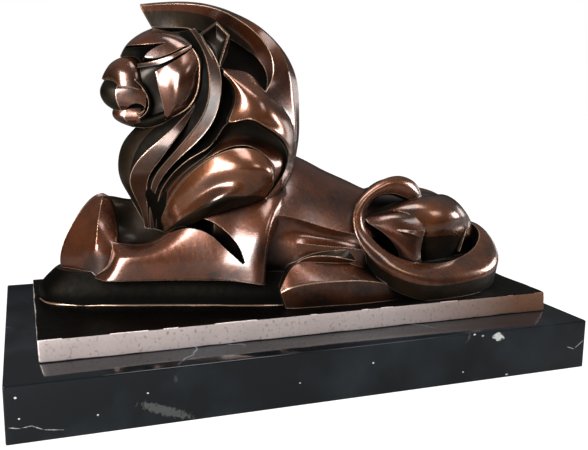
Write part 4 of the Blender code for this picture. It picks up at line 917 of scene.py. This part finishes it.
@dataclass(frozen=True)
class PatinatedBronze:
    """Cast bronze, chased, patinated brown with heat and acid, and waxed.

    The eye sees orange-brown metal where hands and cloths have rubbed it, a nearly black olive where the
    patina lies thick in the hollows, darkened further by painted shade, and light gold along the edges, which
    is rubbed metal with a painted highlight. The wax adds sharp pale highlights.
    """

    patina: Patina = Patina.BROWN
    rubbed: str = "7A4020"
    brown: str = "2E1A10"
    # The hollows' colour: thick patina, with the painted shade that falls there.
    hollow: str = "080705"
    # The edges' pale colour: rubbed metal, with a painted highlight line.
    edge: str = "E6BC9C"
    edge_share: float = 0.75
    metallic: float = 0.72
    roughness: float = 0.27
    # Rubbed patches with mottling in them: up to which noise the patina is thin, and from which it is whole.
    patch_mm: float = 36.0
    mottle_mm: float = 5.0
    mottle_share: float = 0.35
    brown_at: Span = (0.52, 0.86)
    # The chaser's hammer marks, and the casting's pits, which are drawn coarse enough to show.
    chasing_mm: float = 3.4
    chasing_height_mm: float = 0.16
    pit_mm: float = 0.7
    pit_share: float = 0.12
    # How far a point looks for what shuts it in, and how open it is where the thick patina and painted shade
    # begin and where they are darkest.
    reach_mm: float = 24.0
    hollow_at: Span = (0.86, 0.34)
    # An edge is painted pale where it is open, as rubbed metal with a painted highlight: how open it is, and
    # how its face lies to those within ease_mm.
    free_at: Span = (0.30, 0.60)
    ease_mm: float = 0.8
    edge_at: Span = (0.985, 0.90)
    # How far the roughness follows the mottling, and how much rougher a hollow is.
    gloss_swing: float = 0.28
    hollow_matt: float = 0.25
    # The buffed wax, and the refractive index of the oxide film under it, which mirrors more than wax does.
    wax: float = 0.9
    wax_roughness: float = 0.19
    film: float = 1.8

    def material(self) -> bpy.types.Material:
        """Builds the finish.

        Returns:
            The material.
        """
        made, shader, mm = started(self.patina.value)
        tree = made.node_tree
        patch = add(tree, "TexNoise", {"Scale": 1 / self.patch_mm, "Detail": 3.0}, {"Vector": mm})
        mottle = add(tree, "TexNoise", {"Scale": 1 / self.mottle_mm, "Detail": 4.0}, {"Vector": mm})
        both = add(tree, "Math", {"operation": "MULTIPLY_ADD", 1: self.mottle_share}, {0: mottle, 2: patch})
        share = add(tree, "MapRange", span(self.brown_at), {0: both})
        base = add(tree, "Mix", {"data_type": "RGBA", 6: linear(self.rubbed), 7: linear(self.brown)},
                   {0: share})
        soft = add(tree, "Bevel", {"samples": 6, "Radius": self.ease_mm * MM})
        # Painted shade, with thick patina, in the hollows that the occlusion finds.
        sky = add(tree, "AmbientOcclusion", {"samples": 8, "Distance": self.reach_mm * MM})
        hollow_patina_and_shade = add(tree, "MapRange", {**span(self.hollow_at), "interpolation_type": "SMOOTHSTEP"},
                     {0: sky.outputs["AO"]})
        dark = add(tree, "Mix", {"data_type": "RGBA", 7: linear(self.hollow)},
                   {0: hollow_patina_and_shade, 6: base.outputs[2]})
        # Painted highlight lines, with rubbed metal, where the surface turns over an open edge.
        shape = add(tree, "NewGeometry")
        level = add(tree, "VectorMath", {"operation": "DOT_PRODUCT"}, {0: soft, 1: shape.outputs["Normal"]})
        turn = add(tree, "MapRange", span(self.edge_at), {0: level.outputs["Value"]})
        free = add(tree, "MapRange", span(self.free_at, self.edge_share), {0: sky.outputs["AO"]})
        worn_and_lit = add(tree, "Math", {"operation": "MULTIPLY"}, {0: turn, 1: free})
        bright = add(tree, "Mix", {"data_type": "RGBA", 7: linear(self.edge)}, {0: worn_and_lit, 6: dark.outputs[2]})
        smooth = self.roughness - self.gloss_swing / 2
        gloss = add(tree, "Math", {"operation": "MULTIPLY_ADD", 1: self.gloss_swing, 2: smooth}, {0: mottle})
        matt = add(tree, "Math", {"operation": "MULTIPLY_ADD", 1: self.hollow_matt}, {0: hollow_patina_and_shade, 2: gloss})
        chase = add(tree, "TexNoise", {"Scale": 1 / self.chasing_mm, "Detail": 2.0}, {"Vector": mm})
        pits = add(tree, "TexNoise", {"Scale": 1 / self.pit_mm, "Detail": 2.0}, {"Vector": mm})
        height = add(tree, "Math", {"operation": "MULTIPLY_ADD", 1: self.pit_share}, {0: pits, 2: chase})
        bump = add(tree, "Bump", {"Strength": 1.0, "Distance": self.chasing_height_mm * MM},
                   {"Height": height, "Normal": soft})
        wax = add(tree, "Math", {"operation": "MULTIPLY_ADD", 1: -self.wax, 2: self.wax}, {0: hollow_patina_and_shade})
        fitted(tree, shader,
               {"Metallic": self.metallic, "Coat Roughness": self.wax_roughness, "Coat IOR": self.film},
               {"Base Color": bright.outputs[2], "Roughness": matt, "Normal": bump, "Coat Weight": wax})
        return made


@dataclass(frozen=True)
class ScouredBronze:
    """The plate's cast edge, ground and scoured back to bare bronze.

    The eye sees a pale pinkish metal with a soft sheen, and dull brown specks where the casting skin is left.
    Its paleness is partly a painted reflection, palest and greyest towards the lion's head and browner
    towards its tail.
    """

    name: str = "scoured_bronze"
    # The pale colour at the head's end: scoured metal with a painted reflection.
    worn_and_lit: str = "EFDEDA"
    brown: str = "9A7058"
    skin: str = "5A4034"
    # Where along the plinth the painted reflection fades from pale to brown, in millimetres.
    sheen_fade_from_to_mm: Span = (60.0, 170.0)
    speck_mm: float = 2.4
    skin_share: float = 0.6
    skin_at: Span = (0.56, 0.78)
    metallic: float = 0.65
    roughness: float = 0.42
    grain_mm: float = 0.9
    grain_height_mm: float = 0.06

    def material(self) -> bpy.types.Material:
        """Builds the finish.

        Returns:
            The material.
        """
        made, shader, mm = started(self.name)
        tree = made.node_tree
        along = add(tree, "SeparateXYZ", {}, {0: mm})
        # Painted reflection: pale towards the head, fading to brown towards the tail.
        painted_sheen_fade = add(tree, "MapRange", span(self.sheen_fade_from_to_mm), {0: along.outputs["X"]})
        base = add(tree, "Mix", {"data_type": "RGBA", 6: linear(self.worn_and_lit), 7: linear(self.brown)},
                   {0: painted_sheen_fade})
        specks = add(tree, "TexNoise", {"Scale": 1 / self.speck_mm, "Detail": 4.0}, {"Vector": mm})
        left = add(tree, "MapRange", span(self.skin_at, self.skin_share), {0: specks})
        colour = add(tree, "Mix", {"data_type": "RGBA", 7: linear(self.skin)}, {0: left, 6: base.outputs[2]})
        grain = add(tree, "TexNoise", {"Scale": 1 / self.grain_mm, "Detail": 3.0}, {"Vector": mm})
        bump = add(tree, "Bump", {"Strength": 1.0, "Distance": self.grain_height_mm * MM}, {"Height": grain})
        fitted(tree, shader, {"Metallic": self.metallic, "Roughness": self.roughness},
               {"Base Color": colour.outputs[2], "Normal": bump})
        return made


@dataclass(frozen=True)
class Mark:
    """A pale fleck, a stretch of a vein, or a faint painted reflection, on the marble's front.

    Attributes:
        x: Its place along the plinth, in millimetres.
        z: Its height above the plinth's underside, in millimetres.
        long: Its length, in millimetres.
        high: Its height, in millimetres.
        slant: How far it turns from the level, in degrees.
        share: How pale it is, up to one.
    """

    x: float
    z: float
    long: float
    high: float
    slant: float = 0.0
    share: float = 1.0


@dataclass(frozen=True)
class BlackMarble:
    """Black limestone marble, sawn, ground and polished.

    The eye sees a nearly black mirror with a slight blue cast, cloudy patches that are a little greyer,
    hair-thin white veins, a few pale fossil flecks and one faint painted reflection.
    """

    name: str = "black_marble"
    ground: str = "0F1317"
    cloud: str = "2A3036"
    vein: str = "6E7476"
    fleck: str = "D4D6D2"
    roughness: float = 0.08
    ior: float = 1.6
    # At which noise a cloud begins, and at which it is thick.
    cloud_mm: float = 60.0
    cloud_at: Span = (0.45, 0.75)
    # How far apart the veins run, their half width as a share of that, and the clouds' noise that shows them.
    vein_mm: float = 190.0
    vein_at: Span = (0.006, 0.0015)
    vein_in: Span = (0.5, 0.62)
    bend_mm: float = 25.0
    sway_mm: float = 34.0
    # The marks of the front, with ragged outlines: how far out they end, and how far out they are whole.
    front: float = -122.5
    ragged_mm: float = 1.6
    ragged: float = 1.6
    mark_at: Span = (1.75, 1.45)
    marks: tuple[Mark, ...] = (
        Mark(130.8, 32.6, 10.5, 6.6, -18), Mark(117.8, 34.6, 2.6, 1.6), Mark(110.8, 36.2, 2.0, 1.4),
        Mark(140.3, 2.2, 3.0, 1.4), Mark(102.5, 8.7, 1.8, 1.2), Mark(29.9, 24.1, 1.8, 1.2),
        Mark(-23.9, 16.2, 1.8, 1.2), Mark(-125.2, 22.4, 1.8, 1.2), Mark(-156.1, 12.2, 1.6, 1.2),
        Mark(-203.2, 29.6, 2.0, 1.8), Mark(-201.7, 16.1, 1.8, 1.6),
        Mark(205.0, 19.0, 13.0, 0.8, 36, 0.6), Mark(197.4, 16.6, 7.0, 0.8, -20, 0.6),
        Mark(-204.8, 10.7, 8.0, 0.8, -12, 0.5), Mark(-198.0, 10.4, 7.5, 0.7, 6, 0.5),
        Mark(-191.4, 9.0, 8.0, 0.8, -27, 0.5), Mark(-182.6, 6.4, 12.5, 0.7, -9, 0.45),
        # The last, broad and faint, is a painted reflection smudge.
        Mark(-114.0, 9.0, 40.0, 7.0, -22, 0.10))

    def material(self) -> bpy.types.Material:
        """Builds the finish.

        Returns:
            The material.
        """
        made, shader, mm = started(self.name)
        tree = made.node_tree
        clouds = add(tree, "TexNoise", {"Scale": 1 / self.cloud_mm, "Detail": 6.0}, {"Vector": mm})
        misty = add(tree, "MapRange", span(self.cloud_at), {0: clouds})
        base = add(tree, "Mix", {"data_type": "RGBA", 6: linear(self.ground), 7: linear(self.cloud)},
                   {0: misty})
        bent = add(tree, "TexNoise", {"Scale": 1 / self.bend_mm, "Detail": 5.0}, {"Vector": mm})
        sway = add(tree, "VectorMath", {"operation": "SCALE", "Scale": self.sway_mm},
                   {0: bent.outputs["Color"]})
        path = add(tree, "VectorMath", {"operation": "ADD"}, {0: mm, 1: sway})
        cells = add(tree, "TexVoronoi", {"feature": "DISTANCE_TO_EDGE", "Scale": 1 / self.vein_mm},
                    {"Vector": path})
        line = add(tree, "MapRange", span(self.vein_at), {0: cells.outputs["Distance"]})
        broken = add(tree, "MapRange", span(self.vein_in), {0: clouds})
        veins = add(tree, "Math", {"operation": "MULTIPLY"}, {0: line, 1: broken})
        veined = add(tree, "Mix", {"data_type": "RGBA", 7: linear(self.vein)}, {0: veins, 6: base.outputs[2]})
        colour = add(tree, "Mix", {"data_type": "RGBA", 7: linear(self.fleck)},
                     {0: self.marked(tree, mm), 6: veined.outputs[2]})
        fitted(tree, shader, {"Roughness": self.roughness, "IOR": self.ior},
               {"Base Color": colour.outputs[2]})
        return made

    def marked(self, tree: bpy.types.NodeTree, mm: bpy.types.Node) -> bpy.types.Node:
        """Draws the marks.

        Args:
            tree: The material's node tree.
            mm: The node that tells a point's place in millimetres.

        Returns:
            The node that tells how pale a point is.
        """
        ragged = add(tree, "TexNoise", {"Scale": 1 / self.ragged_mm, "Detail": 3.0}, {"Vector": mm})
        spots = []
        for mark in self.marks:
            centre = (mark.x, self.front, mark.z)
            turned = add(tree, "VectorRotate",
                         {"rotation_type": "Y_AXIS", "Center": centre, "Angle": math.radians(mark.slant)},
                         {"Vector": mm})
            offset = add(tree, "VectorMath", {"operation": "SUBTRACT", 1: centre}, {0: turned})
            # Each half size becomes 1. The depth counts for little, so a mark goes 10 mm into the stone.
            shape = add(tree, "VectorMath", {"operation": "MULTIPLY", 1: (2 / mark.long, 0.1, 2 / mark.high)},
                        {0: offset})
            far = add(tree, "VectorMath", {"operation": "LENGTH"}, {0: shape})
            edge = add(tree, "Math", {"operation": "MULTIPLY_ADD", 1: self.ragged},
                       {0: ragged, 2: far.outputs["Value"]})
            spots.append(add(tree, "MapRange", span(self.mark_at, mark.share), {0: edge}))
        most = spots[0]
        for spot in spots[1:]:
            most = add(tree, "Math", {"operation": "MAXIMUM"}, {0: most, 1: spot})
        return most


def block(size: tuple[float, float, float], edge: float) -> bmesh.types.BMesh:
    """Makes a block with eased edges.

    Args:
        size: How long, wide and high it is.
        edge: The radius of its edges.

    Returns:
        The block, with the origin at its centre.
    """
    made = bmesh.new()
    bmesh.ops.create_cube(made, size=1.0)
    bmesh.ops.scale(made, vec=size, verts=made.verts)
    bmesh.ops.bevel(made, geom=made.edges, offset=edge, segments=3, affect="EDGES", profile=0.5)
    return made


@dataclass(frozen=True)
class Plate:
    """The thin plate that is cast in one with the lion, with dents along its edges."""

    size: tuple[float, float, float] = (384.0, 164.0, 15.4)
    edge: float = 1.0
    centre: tuple[float, float] = (3.0, -9.0)
    seat: float = 37.8
    # How far apart the points lie that are dented, and how far from an edge the dents reach.
    cell: float = 5.0
    rim: float = 2.0
    # How deep a dent goes, how much of it shows from above, and the share of the edge that is dented.
    dent: float = 0.5
    sink: float = 0.6
    spread: float = 0.35
    # The size of the dents and of the chips in them, and how deep the chips go beside them.
    dent_mm: tuple[float, float] = (17.0, 6.0)
    chips: float = 0.6

    def body(self) -> bpy.types.Object:
        """Makes the plate.

        Returns:
            The plate, in metres.
        """
        plate = block(self.size, self.edge)
        for axis, size in enumerate(self.size):
            way = Vector([float(k == axis) for k in range(3)])
            cuts = max(2, round(size / self.cell))
            for i in range(1, cuts):
                bmesh.ops.bisect_plane(plate, geom=plate.verts[:] + plate.edges[:] + plate.faces[:],
                                       plane_co=way * (i / cuts - 0.5) * size, plane_no=way)
        for vert in plate.verts:
            low = noise.noise(vert.co / self.dent_mm[0]) + self.chips * noise.noise(vert.co / self.dent_mm[1])
            inward = Vector([-math.copysign(share, far) if abs(far) > size / 2 - self.rim else 0
                             for far, size, share in zip(vert.co, self.size, (1, 1, self.sink))])
            if vert.co.z > self.rim - self.size[2] / 2 or abs(inward.x) + abs(inward.y) > 0:
                vert.co += inward * self.dent * max(0.0, low + self.spread)
        mesh = bpy.data.meshes.new("plate")
        plate.to_mesh(mesh)
        plate.free()
        mesh.transform(Matrix.Scale(MM, 4))
        mesh.transform(Matrix.Translation(Vector((*self.centre, self.seat + self.size[2] / 2)) * MM))
        return linked("plate", mesh)

    @property
    def top(self) -> float:
        """The height of its upper face, in millimetres."""
        return self.seat + self.size[2]


@dataclass(frozen=True)
class Casting:
    """The lion and its plate, fused into the one body that left the mould.

    Attributes:
        forward: How far the lion stands before the plinth's middle, in millimetres.
        turn: How far it is turned on its plate, in degrees.
        level: How far upwards a face of the plate looks where the patina is left on it.
        sharp: The angle from which an edge is sharp, in degrees.
        finishes: The bronze, one for each way that the patina lies; the olive and ground ones also paint
            shade, the edge one highlights.
        rim: The finish of the plate's edge.
    """

    plate: Plate = Plate()
    trunk: Trunk = Trunk()
    hindquarters: Hindquarters = Hindquarters()
    tail: Tail = Tail()
    forequarters: Forequarters = Forequarters()
    mane: Mane = Mane()
    head: Head = Head()
    forward: float = 2.0
    turn: float = -3.8
    level: float = 0.7
    sharp: float = 38.0
    finishes: tuple[PatinatedBronze, ...] = (
        PatinatedBronze(),
        PatinatedBronze(Patina.RUBBED, rubbed="8A4E28", brown="402315"),
        # Olive: thick patina, and painted shade in hollows and recesses.
        PatinatedBronze(Patina.OLIVE, rubbed="3A2B1B", brown="17110A", edge_share=0.4, roughness=0.36,
                        wax=0.15),
        PatinatedBronze(Patina.LOCK, rubbed="4E2F1E", brown="19100A", edge_share=0.5, roughness=0.33,
                        wax=0.35),
        # Ground: dark patina, and painted shade where it lines slots, sockets, creases and the gaps between
        # the locks.
        PatinatedBronze(Patina.GROUND, rubbed="100C06", brown="060503", edge_share=0.2, metallic=0.92,
                        roughness=0.5, wax=0.0),
        # Edge: paler than rubbed bronze, so rubbed metal with painted highlight.
        PatinatedBronze(Patina.EDGE, rubbed="E8C6AA", brown="B08465", hollow="5A4436", edge_share=0.2))
    rim: ScouredBronze = ScouredBronze()

    def body(self) -> bpy.types.Object:
        """Fuses every form with the plate.

        Returns:
            The finished casting.
        """
        materials = {finish.patina.value: finish.material() for finish in self.finishes}
        casting = self.plate.body()
        casting.name = "lion_casting"
        casting.data.materials.append(self.rim.material())
        casting.data.materials.append(materials[Patina.GROUND.value])
        # The plate's sides take the pale scoured finish, partly a painted reflection; its top keeps the
        # ground finish.
        for face in casting.data.polygons:
            face.material_index = 1 if face.normal.z > self.level else 0
        bodies: list[bpy.types.Object] = []
        for part in (self.trunk, self.hindquarters, self.tail, self.forequarters, self.mane, self.head):
            for form in part.forms():
                bodies += form.bodies()
        bodies += self.head.ears()
        cutters = [step.object for body in bodies for step in body.modifiers]
        seat = Matrix.Translation(Vector((0, -self.forward, self.plate.top)) * MM)
        stance = seat @ Matrix.Rotation(math.radians(self.turn), 4, "Z")
        for body in bodies + cutters:
            body.matrix_world = stance
        for body in bodies:
            # Each body's second slot is the pale edge finish, with painted highlights; its third the olive
            # one, with painted shade.
            for patina in (body.get("patina", Patina.BROWN.value), Patina.EDGE.value, Patina.OLIVE.value):
                body.data.materials.append(materials[patina])
        for cutter in cutters:
            cutter.data.materials.append(materials[cutter["patina"]])
        fuse(casting, bodies)
        for cutter in cutters:
            bpy.data.objects.remove(cutter, do_unlink=True)
        casting.data.shade_smooth()
        casting.data.set_sharp_from_angle(angle=math.radians(self.sharp))
        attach(casting, "root")
        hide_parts("bronze_lion")
        return casting


def fuse(target: bpy.types.Object, bodies: Iterable[bpy.types.Object]) -> None:
    """Joins bodies to the target as one solid, and takes them away.

    Args:
        target: The body that the others are joined to.
        bodies: The others.
    """
    group = bpy.data.collections.new("forms")
    bpy.context.scene.collection.children.link(group)
    for body in bodies:
        group.objects.link(body)
    step = target.modifiers.new("union", "BOOLEAN")
    step.operation = "UNION"
    step.operand_type = "COLLECTION"
    step.collection = group
    step.solver = "MANIFOLD"
    step.material_mode = "TRANSFER"
    depsgraph = bpy.context.evaluated_depsgraph_get()
    target.data = bpy.data.meshes.new_from_object(target.evaluated_get(depsgraph))
    target.modifiers.clear()
    for body in list(group.objects):
        bpy.data.objects.remove(body, do_unlink=True)
    bpy.data.collections.remove(group)


@dataclass(frozen=True)
class Plinth:
    """The polished marble block under the casting."""

    size: tuple[float, float, float] = (420.0, 245.0, 37.5)
    edge: float = 1.0
    sharp: float = 40.0
    finish: BlackMarble = BlackMarble()

    def body(self) -> bpy.types.Object:
        """Makes the block.

        Returns:
            The plinth, in metres.
        """
        plinth = block(self.size, self.edge)
        bmesh.ops.translate(plinth, vec=(0, 0, self.size[2] / 2), verts=plinth.verts)
        bmesh.ops.scale(plinth, vec=(MM, MM, MM), verts=plinth.verts)
        mesh = bpy.data.meshes.new("marble_plinth")
        plinth.to_mesh(mesh)
        plinth.free()
        mesh.shade_smooth()
        mesh.set_sharp_from_angle(angle=math.radians(self.sharp))
        mesh.materials.append(self.finish.material())
        made = linked("marble_plinth", mesh)
        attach(made, "root")
        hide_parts("marble_base")
        return made


@dataclass(frozen=True)
class SoftLight:
    """An oblong softbox.

    Attributes:
        name: Its name.
        place: Where it hangs, in metres.
        wide: Its width, in metres.
        high: Its height, in metres.
        power: Its power, in watts.
        aim: The point that it faces, in metres.
    """

    name: str
    place: Point
    wide: float
    high: float
    power: float
    aim: Point = (0.0, 0.0, 0.12)

    def light(self) -> bpy.types.Object:
        """Hangs the softbox.

        Returns:
            The light.
        """
        lamp = bpy.data.lights.new(self.name, "AREA")
        lamp.shape = "RECTANGLE"
        lamp.size = self.wide
        lamp.size_y = self.high
        lamp.energy = self.power
        made = linked(self.name, lamp)
        made.location = self.place
        made.rotation_euler = (Vector(self.aim) - Vector(self.place)).to_track_quat("-Z", "Y").to_euler()
        return made


@dataclass(frozen=True)
class Studio:
    """A plain pale floor, softboxes and the camera at the photograph's angle.

    The photograph's ground is blown out to pure white, and the bronze mirrors a dim room. So the floor and
    what is behind the object are white to the camera only, and grey to every other ray.
    """

    floor_radius: float = 6.0
    floor: str = "7C7C7A"
    floor_roughness: float = 0.7
    floor_glow: float = 1.0
    paper: str = "FFFFFF"
    # How bright the room is at its foot and overhead, and how far up a ray goes where it meets either.
    dim: float = 0.012
    bright: float = 0.175
    rise: Span = (-0.1, 0.9)
    lights: tuple[SoftLight, ...] = (
        SoftLight("window_left", (-1.12, -0.88, 0.50), 0.60, 0.90, 30.0),
        SoftLight("overhead", (0.05, -0.3, 1.25), 0.52, 0.52, 5.0),
        SoftLight("window_right", (1.18, -0.14, 0.34), 0.34, 0.34, 4.8),
        SoftLight("front_right", (0.54, -0.78, 0.78), 0.34, 0.26, 1.1),
        SoftLight("behind", (1.3, 0.6, 0.25), 0.35, 0.35, 0.8))
    # The camera that was fitted to the corners of the plinth and the plate: metres, radians, millimetres.
    camera_place: Point = (-0.191856, -0.578508, 0.211596)
    pitch: float = 0.1783
    yaw: float = 0.3428
    roll: float = 0.0087
    lens: float = 46.75
    sensor: float = 36.0
    near: float = 0.01

    def stage(self) -> None:
        """Sets up floor, surroundings, lights and camera."""
        mesh = bpy.data.meshes.new("floor")
        disc = bmesh.new()
        bmesh.ops.create_circle(disc, cap_ends=True, segments=96, radius=self.floor_radius)
        disc.to_mesh(mesh)
        disc.free()
        mesh.materials.append(self.matt_paper())
        linked("floor", mesh)
        for light in self.lights:
            light.light()
        self.surroundings()
        self.camera()
        bpy.context.scene.view_settings.view_transform = "Standard"

    def matt_paper(self) -> bpy.types.Material:
        """Builds the floor's finish: matt paper, with no sheen that the eye could see.

        Returns:
            The material.
        """
        made = bpy.data.materials.new("matt_paper")
        made.use_nodes = True
        tree = made.node_tree
        shader = tree.nodes["Principled BSDF"]
        ray = add(tree, "LightPath")
        shown = add(tree, "Math", {"operation": "MULTIPLY", 1: self.floor_glow},
                    {0: ray.outputs["Is Camera Ray"]})
        fitted(tree, shader, {"Base Color": linear(self.floor), "Roughness": self.floor_roughness,
                              "Emission Color": linear(self.paper)}, {"Emission Strength": shown})
        return made

    def surroundings(self) -> None:
        """Paints the studio round the object: white paper behind it, dim walls for it to mirror."""
        world = bpy.data.worlds.new("studio")
        world.use_nodes = True
        bpy.context.scene.world = world
        tree = world.node_tree
        walls = tree.nodes["Background"]
        way = add(tree, "TexCoord")
        split = add(tree, "SeparateXYZ", {}, {0: way.outputs["Generated"]})
        rise = add(tree, "MapRange",
                   {**span(self.rise, self.bright), "To Min": self.dim, "interpolation_type": "SMOOTHSTEP"},
                   {0: split.outputs["Z"]})
        fitted(tree, walls, {"Strength": 1.0}, {"Color": rise})
        paper = add(tree, "Background", {"Color": linear(self.paper), "Strength": 1.0})
        ray = add(tree, "LightPath")
        shown = add(tree, "MixShader", {}, {0: ray.outputs["Is Camera Ray"], 1: walls, 2: paper})
        fitted(tree, tree.nodes["World Output"], {}, {"Surface": shown})

    def camera(self) -> None:
        """Places the camera."""
        forth = math.cos(self.pitch)
        ahead = np.array([math.sin(self.yaw) * forth, math.cos(self.yaw) * forth, -math.sin(self.pitch)])
        level = np.array([math.cos(self.yaw), -math.sin(self.yaw), 0])
        up = np.cross(level, ahead)
        right = math.cos(self.roll) * level + math.sin(self.roll) * up
        top = -math.sin(self.roll) * level + math.cos(self.roll) * up
        data = bpy.data.cameras.new("camera")
        data.sensor_width = self.sensor
        data.lens = self.lens
        data.clip_start = self.near
        made = linked("camera", data)
        columns = np.stack([right, top, -ahead, np.array(self.camera_place)], axis=1)
        made.matrix_world = Matrix([*columns.tolist(), (0, 0, 0, 1)])
        bpy.context.scene.camera = made


def main() -> None:
    """Builds the pieces in order and reports each."""
    logging.basicConfig(level=logging.INFO, format="%(name)s: %(message)s")
    for part in (Plinth(), Casting()):
        piece = part.body()
        faces = sum(len(face.vertices) - 2 for face in piece.data.polygons)
        log.info("%s: %d triangles", piece.name, faces)
    Studio().stage()


if __name__ == "__main__":
    main()
